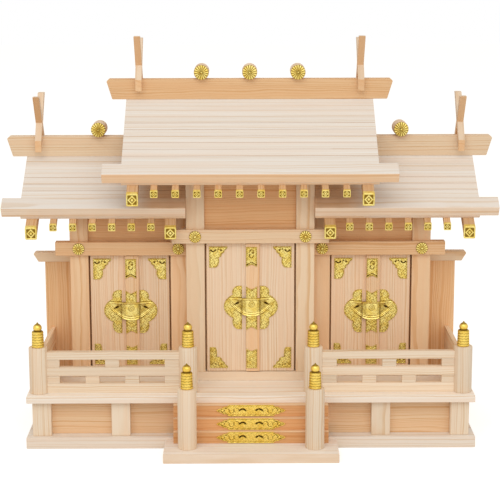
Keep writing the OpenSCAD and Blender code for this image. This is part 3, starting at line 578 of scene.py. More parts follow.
for node in stair["nodes"]:
    low, high = (np.array(corner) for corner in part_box(node))
    under = np.array([high[0], high[1], high[2] - stair["tread"]])
    over = np.array([low[0], low[1] - stair["proud"], high[2] - stair["tread"]])
    riser = slab(low, under, stair["soft"], level, "plain", warmth=stair["warmth"])
    tread = slab(over, high, stair["soft"], level, "quarter")
    dress(node, [riser], wood["panel"])
    putPiece(node + "_tread", [tread], wood["strip"], bodyOf[node], slotOf[node])
print("stair:", len(stair["nodes"]), "risers and treads")


# Round posts
postLook = dict(nodes=("stair_posts", "rail_posts"), soft=0.7 * mm, softSteps=4, tone=-0.04)


def roundPost(solid):
    # a circle carried up, drawn in by a quarter round at both ends
    low, high = solid["low"], solid["high"]
    radius, height, soft = (high[0] - low[0]) / 2, high[2] - low[2], postLook["soft"]
    turn = np.linspace(0, math.pi / 2, postLook["softSteps"])
    foot = np.column_stack([radius - soft + soft * np.sin(turn), soft - soft * np.cos(turn)])
    head = np.column_stack([foot[::-1, 0], height - foot[::-1, 1]])
    return turned(np.vstack([foot, head]), ((low[0] + high[0]) / 2, (low[1] + high[1]) / 2, low[2]))


for node in postLook["nodes"]:
    shells = [grained(roundPost(solid), plumb, tone=postLook["tone"]) for solid in solidsOf(node)]
    dress(node, shells, wood["pale"], logSmooth)


# Roof slopes with the lines of their boards cut into the top, counted up from the eave
roofLook = dict(row=10.9 * mm, groove=0.5 * mm, width=0.4 * mm, soft=0.5 * mm, faintness=0.3, rowSpread=0.012,
                slopeSpread=0.01)
# shade is painted shade on the edges that look down; inner is the centre eave's painted shadow on the side
# slopes
roofLines = {
    "centre_roof_front": dict(first=14.75 * mm, strong=6, faint=2, shade=1.0),
    "centre_roof_back": dict(first=14.75 * mm, strong=6, faint=2, shade=1.0),
    "side_roof_fronts": dict(first=13.6 * mm, strong=3, faint=3, shade=0.6, inner=2.4),
    "side_roof_backs": dict(first=13.6 * mm, strong=3, faint=3, shade=0.6, inner=2.4),
}


def slopeShell(solid, first, strong, faint, shade, inner=0.0):
    # the top edge of the slope's outline gets a V groove per row, the upper rows fainter
    outline = endOutline(solid, "x")
    ahead = np.roll(outline, -1, axis=0)
    top = int(np.argmin((ahead - outline)[:, 0]))  # the long edge that looks up runs towards -Y
    rising = outline[top][1] < ahead[top][1]
    eave, ridge = (outline[top], ahead[top]) if rising else (ahead[top], outline[top])
    run = unit(ridge - eave)
    inward = np.array([run[1], -run[0]]) * np.sign(run[0])
    number = np.arange(strong + faint)
    strength = np.where(number < strong, 1.0, roofLook["faintness"])
    middle = eave + run * (first + number * roofLook["row"])[:, None]
    side = run * roofLook["width"]
    deep = inward * (roofLook["groove"] * strength)[:, None]
    grooves = np.stack([middle - side, middle + deep, middle + side], axis=1).reshape(-1, 2)
    seam = np.column_stack([0 * strength, strength, 0 * strength]).ravel()
    tone = dice.normal(0, roofLook["rowSpread"], len(number) + 1)[(np.arange(len(grooves)) + 1) // 3]
    order = slice(None) if rising else slice(None, None, -1)
    outline = np.insert(outline, top + 1, grooves[order], axis=0)
    seam, tone = (np.insert(np.zeros(len(ahead)), top + 1, field[order]) for field in (seam, tone))
    rings = boardRings(outline, "x", solid["low"][0], solid["high"][0], roofLook["soft"])
    # painted shade on edges that look down, and the centre eave's painted shadow at the inner end
    warmth = underShade(outline, shade)
    if inner:
        rings, more = eaveShadowWarmth(rings, inner)
        warmth = warmth + more
    shell = carried(rings, seam=np.repeat(seam, 3), tone=np.repeat(tone, 3), warmth=warmth)
    return grained(shell, level, "quarter", spread=roofLook["slopeSpread"])


for node, look in roofLines.items():
    shells = [slopeShell(solid, **look) for solid in solidsOf(node)]
    dress(node, shells, wood["roof"])
print("roofs:", len(roofLines), "slopes")


# Ridge boards: slanted ends, a bevelled top and a notch that sits over the two slopes
ridgeLook = dict(woods={"centre_ridge": "warm", "side_ridges": "plain"}, soft=0.8 * mm, underside=2.2,
                 tone=-0.07)
ridgePlane = 0.5 * mm  # corners of the notch lie this near to the middle


def ridgeShell(solid):
    # the X-Z outline carried along Y; its underside rises towards the middle by the notch in the end view
    points, low, high = solid["points"], solid["low"], solid["high"]
    outline = endOutline(solid, "y")  # z, x
    middle = (low[1] + high[1]) / 2
    notch = points[np.abs(points[:, 1] - middle) < ridgePlane][:, 2].min() - low[2]
    soft = ridgeLook["soft"]
    half = (high[1] - low[1]) / 2
    place = np.concatenate([soft * endSteps - half, [0], half - soft * endSteps[::-1]])
    inset = soft * np.concatenate([endSteps[::-1], [0], endSteps])
    flat = np.stack([softCorners(drawnIn(outline, step), soft) for step in inset])
    under = flat[..., 0] < low[2] + ridgeLook["underside"] * soft
    lift = notch * (1 - np.abs(place) / half)[:, None] * under
    across = np.broadcast_to(middle + place[:, None], under.shape)
    rings = np.stack([flat[..., 1], across, flat[..., 0] + lift], axis=-1)
    return grained(carried(rings), level, tone=ridgeLook["tone"])


for node, timber in ridgeLook["woods"].items():
    shells = [ridgeShell(solid) for solid in solidsOf(node)]
    dress(node, shells, wood[timber])


# Rafters run with the slope; a gable pair is two bars that meet under the ridge
# darker warm wood: partly the rafters' own tone, partly painted shade under the eaves
rafterLook = dict(soft=0.4 * mm, tone=-0.2)


def slopeBar(outline, solid):
    # the Y-Z outline carried across the bar's width, its grain along the outline's longest edge
    edge = np.roll(outline, -1, axis=0) - outline
    longest = edge[np.argmax(np.linalg.norm(edge, axis=1))]
    rings = boardRings(outline, "x", solid["low"][0], solid["high"][0], rafterLook["soft"])
    return grained(carried(rings), (0, *longest), tone=rafterLook["tone"])


shells = [slopeBar(endOutline(solid, "x"), solid) for solid in solidsOf("rafters")]
dress("rafters", shells, wood["warm"])
shells = []
for solid in solidsOf("gable_rafters"):
    outline = endOutline(solid, "x")
    ridgeLine = (solid["low"][1] + solid["high"][1]) / 2
    for side in (-1, 1):
        shells.append(slopeBar(outline[side * (outline[:, 0] - ridgeLine) > -onPlane], solid))
dress("gable_rafters", shells, wood["warm"])


# Forked finials: two bars halved into each other, each a hair proud on its own side
finialLook = dict(sides={"finials_forward": -1, "finials_backward": 1}, soft=0.5 * mm, proud=0.12 * mm,
                  shade=1.8, tone=-0.1, warmth=0.2)


def finialShell(solid, side):
    # a leaning bar between the plumb cut at its foot and the level cut at its tip
    points, low, high = solid["points"], solid["low"], solid["high"]
    footLine = low[1] if side > 0 else high[1]
    foot = points[np.abs(points[:, 1] - footLine) < onPlane][:, 2]
    tip = points[points[:, 2] > high[2] - onPlane][:, 1]
    under, over = (tip.max(), tip.min()) if side > 0 else (tip.min(), tip.max())
    outline = np.array([[footLine, foot.max()], [footLine, foot.min()], [under, high[2]], [over, high[2]]])
    outline = outline[::side]
    shift = side * finialLook["proud"]
    rings = boardRings(outline, "x", low[0] + shift, high[0] + shift, finialLook["soft"])
    # painted shade: edges that look down, the plumb foot most, are warmer
    shell = carried(rings, warmth=underShade(outline, finialLook["shade"]))
    return grained(shell, (0, tip.mean() - footLine, high[2] - foot.mean()), tone=finialLook["tone"],
                   warmth=finialLook["warmth"])


for node, side in finialLook["sides"].items():
    dress(node, [finialShell(solid, side) for solid in solidsOf(node)], wood["pale"])
print("ridges, rafters and finials")


# Gilt rosettes: a ring of thin petals round a small boss; heights in shares of their thickness
rosettes = {
    "lintel_studs": dict(petals=14, boss=0.2, thick=2.6 * mm, spread=1.07),
    "ridge_log_discs": dict(petals=16, boss=0.12, thick=2.8 * mm, spread=1.04),
}
petalLook = dict(across=8, rows=9, bossRows=5, rim=0.42, edge=0.45, bow=0.4, seat=0.62, crown=0.7,
                 scallop=0.06, furrow=0.4, furrowDark=1.9, bright=0.6, rimDark=1.1, seatDark=0.4, smooth=50)


def rosetteShell(solid, petals, boss, thick, spread):
    # polar grid: a low dome whose petals are |cos| ridges, scalloped at the rim, round a domed boss
    low, high = solid["low"], solid["high"]
    centre = (low + high) / 2
    radius = (high[0] - low[0]) / 2 * spread
    way = -1 if centre[1] < ridgeMiddle else 1  # which way it faces
    seat = high[1] if way < 0 else low[1]
    look, rows = petalLook, petalLook["rows"]
    angle = np.linspace(0, 2 * np.pi, petals * look["across"], endpoint=False)
    petal = np.linspace(0.99, boss + 0.03, rows)
    up = np.linspace(0.15, 1.55, look["bossRows"])  # radians up the boss
    share = np.concatenate([[1, 1], petal, [boss], boss * np.cos(up)])
    bowed = look["edge"] + look["bow"] * np.sqrt(1 - petal ** 2)
    crown = look["crown"] + (1 - look["crown"]) * np.sin(up)
    dome = np.concatenate([[0, look["rim"]], bowed, [look["seat"]], crown])
    onPetal = np.concatenate([[0, 0.6], np.linspace(1, 0.9, rows), [0.2], 0 * up])
    groove = (1 - np.abs(np.cos(angle * petals / 2)) ** 1.2)[None, :] * onPetal[:, None]
    reach = radius * share[:, None] * (1 - look["scallop"] * groove)
    height = thick * dome[:, None] * (1 - look["furrow"] * groove)
    x, z = centre[0] + reach * np.cos(angle), centre[2] + reach * np.sin(angle)
    rings = np.stack([x, seat + way * height, z], axis=-1)
    # painted shade in the furrows between the petals, on the rim and at the boss's seat; the petals kept
    # light
    recess = look["furrowDark"] * groove ** 1.4 - look["bright"]
    recess[:2] = look["rimDark"]
    recess[2 + rows] = look["seatDark"]
    return carried(rings, recess=recess)


for node, look in rosettes.items():
    dress(node, [rosetteShell(solid, **look) for solid in solidsOf(node)], gilt["pale"], petalLook["smooth"])


# Post caps: a ringed body that narrows upwards, a neck and a pointed ball
capLook = dict(rings=6, ringSteps=6, body=0.63, bead=0.35 * mm, taper=0.07, shoulder=0.84, neck=0.5, ball=0.7,
               ballSteps=14, ballTop=1.25, leaves=10, sway=2.0, grooveDark=0.75, leafDark=0.35, topDark=0.75,
               sides=72, smooth=40)


def capShell(solid):
    # turned profile: |sin| beads up the body, a shoulder in to the neck, then a ball drawn out to a point;
    # the beads are pressed in a pattern that turns with the height
    low, high = solid["low"], solid["high"]
    radius, height = (high[0] - low[0]) / 2, high[2] - low[2]
    count, sides = capLook["rings"], capLook["sides"]
    bodyTop = capLook["body"] * height
    up = np.linspace(0, 1, count * capLook["ringSteps"] + 1)
    bead = np.abs(np.sin(up * count * np.pi)) ** 0.6
    beaded = radius * (1 - capLook["taper"] * up) - capLook["bead"] * (1 - bead)
    body = np.column_stack([beaded, up * bodyTop])
    ball, neck = capLook["ball"] * radius, capLook["neck"] * radius
    ballMiddle = bodyTop + 0.12 * ball + math.sqrt(ball ** 2 - neck ** 2)
    swing = np.linspace(-math.acos(neck / ball), capLook["ballTop"], capLook["ballSteps"])
    globe = np.column_stack([ball * np.cos(swing), ballMiddle + ball * np.sin(swing)])
    shoulder = np.array([[capLook["shoulder"] * radius, bodyTop + 0.05 * ball], [neck, bodyTop + 0.1 * ball]])
    tip = np.array([[0.12 * ball, height - 0.1 * ball], [0.02 * ball, height]])
    angle = np.linspace(0, 2 * np.pi, sides, endpoint=False)
    wave = np.sin(capLook["leaves"] * angle + capLook["sway"] * np.sin(9 * up)[:, None])
    wave = wave * np.sin(up * count * 2 * np.pi)[:, None]
    # painted shade between the beads, at shoulder and neck, under the ball, towards its top and at its tip
    onBody = capLook["grooveDark"] * (1 - bead[:, None]) ** 1.4 + capLook["leafDark"] * np.clip(wave, 0, 1)
    onBall = np.exp(-np.arange(len(swing)) / 1.5) + capLook["topDark"] * np.clip((swing - 0.55) / 0.4, 0, 1)
    above = np.concatenate([[0.4, 1.3], onBall, [0.9, 0.0]])  # shoulder, ball, tip
    recess = np.vstack([onBody, np.repeat(above[:, None], sides, axis=1)])
    base = ((low[0] + high[0]) / 2, (low[1] + high[1]) / 2, low[2])
    return turned(np.vstack([body, shoulder, globe, tip]), base, sides, recess=recess)


dress("post_caps", [capShell(solid) for solid in solidsOf("post_caps")], gilt["rich"], capLook["smooth"])


# Rafter caps: sleeves with a framed diamond pressed into the end; rings of the end from its edge to its
# middle, each with its form, its size, 1 where it is pressed in, and its recess, the painted shade of the
# pressed lines
sleeveLook = dict(corner=1.35, deep=0.45 * mm, edge=0.05, sides=48, smooth=30)
sleeveRings = (
    ("square", 0.97, 0, 0.3), ("square", 0.8, 0, 0.0), ("square", 0.73, 1, 1.2),
    ("diamond", 0.82, 1, 1.2), ("diamond", 0.72, 0, 0.0), ("diamond", 0.5, 0, 0.0), ("diamond", 0.42, 1, 1.2),
    ("disc", 0.26, 1, 1.2), ("disc", 0.18, 0, 0.0), ("disc", 0.04, 0, 0.0),
)


def sleeveShell(solid):
    # rings of the same angles, square up the sleeve and over the frame, then a diamond round a small boss
    outline = endOutline(solid, "x")
    edge = np.roll(outline, -1, axis=0) - outline
    middles = outline + edge / 2
    outward = np.sign(middles[:, 0].mean() - ridgeMiddle)
    tip = int(np.argmax(unit(edge) @ np.array([1.0, outward])))  # the edge that looks outward and down
    inward = middles[(tip + 2) % 4] - middles[tip]
    length = np.linalg.norm(inward)
    inward = inward / length
    upward = unit(edge[tip])
    halfWide, halfHigh = (solid["high"][0] - solid["low"][0]) / 2, np.linalg.norm(edge[tip]) / 2
    angle = np.linspace(0, 2 * np.pi, sleeveLook["sides"], endpoint=False)
    cosine, sine = np.cos(angle), np.sin(angle)
    square = np.minimum(1 / np.maximum(np.abs(cosine), np.abs(sine)), sleeveLook["corner"])
    forms = {"square": square, "diamond": 1 / (np.abs(cosine) + np.abs(sine)), "disc": np.ones_like(angle)}
    sizes = np.stack([square, square] + [forms[form] * size for form, size, pressed, dark in sleeveRings])
    pressed, dark = np.array([row[2:] for row in sleeveRings]).T
    depths = np.concatenate([[length, sleeveLook["edge"] * length], sleeveLook["deep"] * pressed])[:, None]
    away = sizes * sine * halfHigh
    rings = np.empty((*sizes.shape, 3))
    rings[..., 0] = (solid["low"][0] + solid["high"][0]) / 2 + sizes * cosine * halfWide
    rings[..., 1] = middles[tip][0] + inward[0] * depths + upward[0] * away
    rings[..., 2] = middles[tip][1] + inward[1] * depths + upward[1] * away
    return carried(rings, recess=np.concatenate([[0, 0], dark])[:, None])


shells = [sleeveShell(solid) for solid in solidsOf("rafter_caps")]
dress("rafter_caps", shells, gilt["pale"], sleeveLook["smooth"])
print("gilt: rosettes, post caps and rafter caps")


# Pressed plates, in mm: two edges along a run, a rim that follows them, and relief between
plateLook = dict(thick=0.7, roundEdge=0.35, thinEdge=0.25, border=0.3, borderWidth=0.45, lineAt=2.1,
                 lineWidth=0.4, smooth=40)
waveBend = 1.2  # radians by which one set of beads bends the other


def lobe(run, middle, half, reach, foot=0.0):
    # half an ellipse that stands on a foot, nothing beyond its ends
    inside = np.clip(1 - ((run - middle) / half) ** 2, 0, None)
    return np.where(inside > 0, foot + reach * np.sqrt(inside), 0)


def bump(distance, width):
    # a bell curve: 1 on the stroke, fading over the width
    return np.exp(-(distance / width) ** 2)


def lines(distance, rows):
    # strokes at given distances, each with its width
    return sum(bump(distance - at, width) for at, width in rows)


def drops(x, z, rows):
    # round dots: place and width
    return sum(bump(np.hypot(x - middleX, z - middleZ), width) for middleX, middleZ, width in rows)


def arcs(x, z, rows):
    # strokes along parts of circles: middle, radius, start and end in degrees, width
    total = 0
    for middleX, middleZ, radius, start, end, width in rows:
        away, rise = x - middleX, z - middleZ
        inside = (np.degrees(np.arctan2(rise, away)) - start) % 360 <= end - start
        total = total + bump(np.hypot(away, rise) - radius, width) * inside
    return total


def granules(x, z, pitch):
    # beads at the crossings of two sets of waves, each bent by the other
    first, second = 2 * np.pi * x / pitch, 2 * np.pi * z / pitch
    columns = np.sin(first + waveBend * np.sin(0.6 * second))
    rows = np.sin(second + waveBend * np.sin(0.55 * first))
    return 0.5 + 0.5 * columns * rows


def pressedLine(rim, border):
    # the line inside the raised border
    return bump(rim - plateLook["lineAt"] * border, plateLook["lineWidth"])


def pressedSheet(x, z, rim, look, layers, ground=0.0, beaded=1.0):
    # height and recess, the recess being painted shade: a raised border, beads all over with painted shade
    # between them, and layers of strokes with their depth and recess
    bead = granules(x, z, look["pitch"])
    border = plateLook["border"] * bump(rim - look["border"], plateLook["borderWidth"])
    height = border + look["bead"] * beaded * bead
    recess = ground + look["beadShade"] * beaded * (0.5 - bead)
    for mask, depth, dark in layers:
        height = height - depth * mask
        recess = recess + dark * mask
    return height, recess


def plateShell(run, low, high, steps, relief, place, thick=plateLook["thick"]):
    # grid of run by steps between the edges; its ring goes over the front and back along the flat underside
    share = np.linspace(0, 1, steps)
    across = low[:, None] + (high - low)[:, None] * share
    along = np.broadcast_to(run[:, None], across.shape)
    rim = np.minimum(across - low[:, None], high[:, None] - across)
    rim = np.minimum(rim, np.minimum(along - run[0], run[-1] - along))
    height, recess = relief(along, across, rim)
    height = thick * np.clip(rim / plateLook["roundEdge"], plateLook["thinEdge"], 1) ** 0.5 + height
    grid = np.stack([along, across, height], axis=-1)
    back = np.stack([grid[:, -1], grid[:, 0]], axis=1) * np.array([1, 1, 0])
    rings = place(np.concatenate([grid, back], axis=1) * mm)
    return carried(rings, recess=np.concatenate([recess, np.ones((len(run), 2))], axis=1))


# Stair plates: a body with a waist, and a leaf with scalloped edges beyond it at each end
riserLook = dict(node="riser_plates", half=37.0, full=23.5, waist=26.5, tall=6.3, waistShare=0.62,
                 waistCut=0.1, leafShare=0.82, leafCurve=0.8, scallop=0.2, scallopPitch=5.2, thin=0.25,
                 border=0.6, pitch=2.7, bead=0.4, beadShade=1.1, stepsAlong=260, stepsAcross=49)
archLook = dict(stretch=1.15, rows=((7.6, -1.4, 3.1, 20, 160, 0.75),), fan=8.7, fanFoot=-2.4, fanMiddle=-1.4,
                fanRadius=2.2, spokes=5)
riserScrolls = ((15.6, 0.3, 2.6, -40, 230, 0.45), (20.6, -0.6, 2.4, 140, 410, 0.45),
                (26.0, 0.4, 2.2, -60, 210, 0.45), (30.4, 0.0, 1.6, 120, 400, 0.4))


def riserRelief(x, z, rim):
    # two pierced arches in painted shade over fans of spokes beside the middle, scrolls towards the ends
    away = np.abs(x)
    aside = away - archLook["fan"]
    arch = arcs(away / archLook["stretch"], z, archLook["rows"])
    spoke = np.abs(np.cos(archLook["spokes"] * np.arctan2(z - archLook["fanFoot"], aside)))
    spoke = spoke * (np.hypot(aside, z - archLook["fanMiddle"]) < archLook["fanRadius"])
    layers = ((pressedLine(rim, riserLook["border"]), 0.3, 0.7), (arcs(away, z, riserScrolls), 0.2, 0.7),
              (arch, 0.6, 2.2), (spoke, -0.25, 0.0))
    return pressedSheet(x, z, rim, riserLook, layers)


def riserShell(solid):
    # the edge is the taller of the body and the leaf, the same above and below
    look, half, waist = riserLook, riserLook["half"], riserLook["waist"]
    middle = (solid["low"] + solid["high"]) / 2
    run = np.linspace(-half, half, look["stepsAlong"])
    away = np.abs(run)
    body = np.interp(away, [look["full"], waist, waist + look["waistCut"]], [1, look["waistShare"], 0])
    leaf = np.clip((half - away) / (half - waist), 0, 1) ** look["leafCurve"]
    ripple = np.abs(np.cos(np.pi * (away - waist) / look["scallopPitch"]))
    leaf = look["leafShare"] * leaf * (1 - look["scallop"] * ripple)
    edge = np.maximum(look["tall"] * np.maximum(body, leaf), look["thin"])

    def onRiser(grid):
        x, z = middle[0] + grid[..., 0], middle[2] + grid[..., 1]
        return np.stack([x, solid["high"][1] - grid[..., 2], z], axis=-1)

    return plateShell(run, -edge, edge, look["stepsAcross"], riserRelief, onRiser)


shells = [riserShell(solid) for solid in solidsOf(riserLook["node"])]
dress(riserLook["node"], shells, gilt["rich"], plateLook["smooth"])


# Door leaves, their cover strips and the stops behind them
doors = ("centre_door", "left_door", "right_door")
hands = {-1: "left", 1: "right"}
leafLook = dict(soft=0.6 * mm, pinSides=24, tone=-0.02, aside=0.25, lower=0.5 * mm)
doorStop = dict(gap=1.8 * mm, wide=7 * mm, behind=2.8 * mm, thick=4.2 * mm, soft=0.4 * mm, tone=0.25)


def leafBoxes(node):
    # the leaf from its back face and outer edge, the strip from the front face, the pin from the top
    solid = solidsOf(node)[0]
    points, low, high = solid["points"], solid["low"], solid["high"]
    back = points[points[:, 1] > high[1] - onPlane]
    outer = low[0] if node.endswith("left") else high[0]
    face = points[np.abs(points[:, 0] - outer) < onPlane][:, 1].min()
    leaf = (np.array([back[:, 0].min(), face, back[:, 2].min() - leafLook["lower"]]),
            np.array([back[:, 0].max(), high[1], back[:, 2].max()]))
    front = points[points[:, 1] < low[1] + onPlane]
    pin = points[points[:, 2] > high[2] - onPlane]
    strip = (front.min(axis=0), np.array([front[:, 0].max(), face, front[:, 2].max()]))
    return leaf, strip, (pin.min(axis=0), pin.max(axis=0), low[2])


def leafShells(leaf, pin):
    # the board, and a turned pin through it that stands out at top and foot; the side doors are warmer, as
    # painted shade of the side halls
    radius = (pin[1][0] - pin[0][0]) / 2
    profile = np.array([[radius, 0], [radius, pin[1][2] - pin[2]]])
    middle = (pin[0] + pin[1]) / 2
    post = turned(profile, (middle[0], middle[1], pin[2]), leafLook["pinSides"])
    aside = leafLook["aside"] * bool(abs(leaf[0][0] + leaf[1][0]) / 2 > leaf[1][0] - leaf[0][0])
    board = slab(*leaf, leafLook["soft"], plumb, "quarter", tone=leafLook["tone"], warmth=aside)
    return [board, grained(post, plumb)]


def stopShell(leaf, hand):
    # a strip on the pillar behind the leaf's hinged edge, clear of its swing
    outer = leaf[1][0] + doorStop["gap"] if hand > 0 else leaf[0][0] - doorStop["gap"]
    inner = outer - hand * doorStop["wide"]
    front = leaf[1][1] + doorStop["behind"]
    low = np.array([min(outer, inner), front, leaf[0][2]])
    high = np.array([max(outer, inner), front + doorStop["thick"], leaf[1][2]])
    return slab(low, high, doorStop["soft"], plumb, "quarter", tone=doorStop["tone"])


def onFace(middleX, middleZ, face, flipX=1, flipZ=1):
    # run is height, across is width, both measured from the given middle
    def place(grid):
        x, z = middleX + flipX * grid[..., 1], middleZ + flipZ * grid[..., 0]
        return np.stack([x, face - grid[..., 2], z], axis=-1)
    return place


# Corner plates, in mm: the upper ones are pierced more, in darker painted shade, and bulge more than the
# lower ones
cornerPlate = dict(wide=19.8, tall=23.4, side=3.1, end=3.6, slope=0.77, ripple=1.5, ripplePitch=4.2,
                   armEnd=12.6, stem=0.7, bulgeAt=15.8, bulgeHalf=7.7, bulgeFoot=5.0, border=0.55, pitch=3.0,
                   bead=0.35, beadShade=1.0, ground=0.2, stepsAlong=76, stepsAcross=60)
cornerEnds = {"upper": dict(pierced=1.0, bulge=5.2), "lower": dict(pierced=0.45, bulge=2.4)}
cornerHook = ((4.4, 2.6, 2.8, 5, 165, 0.6),)
cornerDrops = ((13.0, 4.0, 0.9), (9.8, 2.8, 0.6))
cornerStrokes = ((5.0, 11.0, 3.2, 20, 210, 0.45), (11.6, 5.4, 2.6, 150, 330, 0.4),
                 (4.0, 17.6, 2.0, -60, 180, 0.4))


def cornerShells(leaf, hand):
    # one plate in each outer corner: arms that taper from the corner, the upright one with a bulge;
    # a hooked stroke near the corner, drops along the level arm and lighter strokes between
    look = cornerPlate
    run = np.linspace(0, look["tall"], look["stepsAlong"])
    arm = look["wide"] - look["slope"] * run
    arm = arm + look["ripple"] * np.abs(np.sin(np.pi * run / look["ripplePitch"]))
    edgeX = leaf[1][0] - look["side"] * mm if hand > 0 else leaf[0][0] + look["side"] * mm
    heights = {"upper": (-1, leaf[1][2] - look["end"] * mm), "lower": (1, leaf[0][2] + look["end"] * mm)}
    shells = []
    for which, (flip, end) in heights.items():
        pierced, bulge = cornerEnds[which]["pierced"], cornerEnds[which]["bulge"]
        upright = look["stem"] + lobe(run, look["bulgeAt"], look["bulgeHalf"], bulge, look["bulgeFoot"])
        edge = np.where(run < look["armEnd"], arm, upright)

        def relief(z, x, rim, pierced=pierced):
            hook = arcs(x, z, cornerHook) + drops(x, z, cornerDrops)
            layers = ((pressedLine(rim, look["border"]), 0.2, 0.5), (hook, 0.4, 2.0 * pierced),
                      (arcs(x, z, cornerStrokes), 0.2, 0.4))
            return pressedSheet(x, z, rim, look, layers, look["ground"])

        place = onFace(edgeX, end, leaf[0][1], -hand, flip)
        shells.append(plateShell(run, np.zeros_like(run), edge, look["stepsAcross"], relief, place))
    return shells


# Plates on the cover strip, in mm: one at each end and a long one under the lock
stripPlate = dict(half=6.0, tall=22.0, notch=2.4, end=3.6, border=0.5, pitch=2.4, bead=0.3, beadShade=1.2,
                  ground=0.15, stepsAlong=70, stepsAcross=37)
# the piercing is painted shade, darker the further they are pierced
stripEnds = {"upper": 1.0, "lower": 0.3}  # how far they are pierced
stripStrokes = ((0.2, 5.6, 2.2, -70, 200, 0.5), (-0.2, 1.2, 2.2, 110, 380, 0.5))
stripDrop = ((0.6, 5.2, 0.7),)
stripChevron = dict(lean=-0.6, rows=((-5.6, 0.5),))
lockPlate = dict(half=6.1, tall=48.8, notch=3.2, border=0.5, pitch=3.0, bead=0.35, beadShade=1.0, ground=0.2,
                 stepsAlong=150, stepsAcross=37)
plateStrokes = ((0.2, 18.0, 2.2, -70, 200, 0.5), (-0.2, 14.0, 2.0, 110, 380, 0.45))
plateChevrons = dict(lean=0.7, rows=((-13.5, 0.45), (-18.0, 0.45)))
tailCurve = 1.3


def chevrons(x, z, look):
    # V strokes that rise away from the middle, or fall where the lean is below nothing
    return lines(z - look["lean"] * np.abs(x), look["rows"])


def tailedPlate(look, tails, relief, place):
    # a straight plate whose tailed ends, top then bottom, are cut back in a curve towards the middle
    half, tall = look["half"], look["tall"]
    share = np.linspace(-1, 1, look["stepsAcross"])
    bite = look["notch"] * (1 - np.abs(share) ** tailCurve)
    top = tall / 2 - bite * tails[0]
    bottom = bite * tails[1] - tall / 2
    width = half * share

    def cut(x, z, rim):
        # the rim is measured straight up and down here, so that it follows the tails
        rim = np.minimum(np.interp(x, width, top) - z, z - np.interp(x, width, bottom))
        return relief(z, x, np.minimum(rim, half - np.abs(x)))

    def turn(grid):
        return place(grid[..., [1, 0, 2]])

    return plateShell(width, bottom, top, look["stepsAlong"], cut, turn)


def stripShells(strip, middle):
    # a plate at each end of the cover strip, its tail towards the lock: an S of strokes, a drop, a chevron
    look = stripPlate
    heights = {"upper": (1, strip[1][2] - look["end"] * mm), "lower": (-1, strip[0][2] + look["end"] * mm)}
    shells = []
    for which, (flip, end) in heights.items():
        def relief(z, x, rim, pierced=stripEnds[which]):
            stroke = arcs(x, z, stripStrokes) + drops(x, z, stripDrop) + chevrons(x, z, stripChevron)
            layers = ((pressedLine(rim, look["border"]), 0.25, 0.3 + 0.5 * pierced),
                      (stroke, 0.3, 1.4 * pierced))
            return pressedSheet(x, z, rim, look, layers, look["ground"])

        place = onFace(middle, end - flip * look["tall"] / 2 * mm, strip[0][1], 1, flip)
        shells.append(tailedPlate(look, (0, 1), relief, place))
    return shells


def plateRelief(z, x, rim):
    # strokes above and below the band that crosses the plate
    stroke = arcs(x, z, plateStrokes) + chevrons(x, z, plateChevrons)
    layers = ((pressedLine(rim, lockPlate["border"]), 0.25, 0.5), (stroke, 0.25, 0.5))
    return pressedSheet(x, z, rim, lockPlate, layers, lockPlate["ground"])


# Lock, in mm from its middle: a round wing on each leaf, and a band on the cover strip between them;
# lobes of a wing by middle, half height, reach and foot
lock = dict(shift=1.3, left=-9.2, right=10.2, top=24.4, bottom=-24.2, rise=3.4, riseReach=11.0, lipRamp=1.5,
            railRamp=0.6, border=0.6, pitch=3.3, bead=0.3, beadShade=1.0, stepsAlong=150, stepsAcross=60)
wingLobes = ((17.5, 7.0, 7.2, 3.4), (-15.5, 8.8, 7.4, 3.2), (1.5, 15.0, 19.8, 0.0))
lockBand = dict(rail=11.4, thick=1.5, gap=0.15, stepsAlong=61, stepsAcross=61)
lockLip = dict(low=-9.2, rise=12.2, span=22.6, curve=2.2, lines=((0.1, 0.5), (2.3, 0.42), (4.4, 0.45)),
               ridges=((1.2, 0.6), (3.4, 0.6)))
lockRail = dict(under=((8.9, 0.45),), underReach=19, over=((11.5, 0.45),), ridge=((10.2, 0.7),),
                ridgeReach=22)
lockSlot = dict(bottom=4.6, top=8.9, inner=5.6, outer=17.0)
lockEye = dict(place=(16.3, 5.2), cosine=0.86, sine=0.51, long=3.4, width=0.85)
lockFlower = dict(height=4.6, rings=((3.0, 0.45), (1.3, 0.4)))
lockScrolls = ((14.0, 17.6, 3.0, -30, 240, 0.45), (13.6, -16.4, 3.0, 120, 390, 0.45),
               (20.5, -4.2, 2.4, 100, 380, 0.45))
lockGround = dict(below=0.3, inside=0.05, outside=0.2, beadInside=0.5, beadOutside=1.1)


def lipLevel(x):
    # height of the lock's lower edge, which rises in a smile away from the middle
    return lockLip["low"] + lockLip["rise"] * (np.abs(x) / lockLip["span"]) ** lockLip["curve"]


def slantedEye(away, z):
    # a drop drawn out along a slanted line
    x, y = away - lockEye["place"][0], z - lockEye["place"][1]
    along = x * lockEye["cosine"] - y * lockEye["sine"]
    across = x * lockEye["sine"] + y * lockEye["cosine"]
    return bump(np.hypot(along / lockEye["long"], across), lockEye["width"])


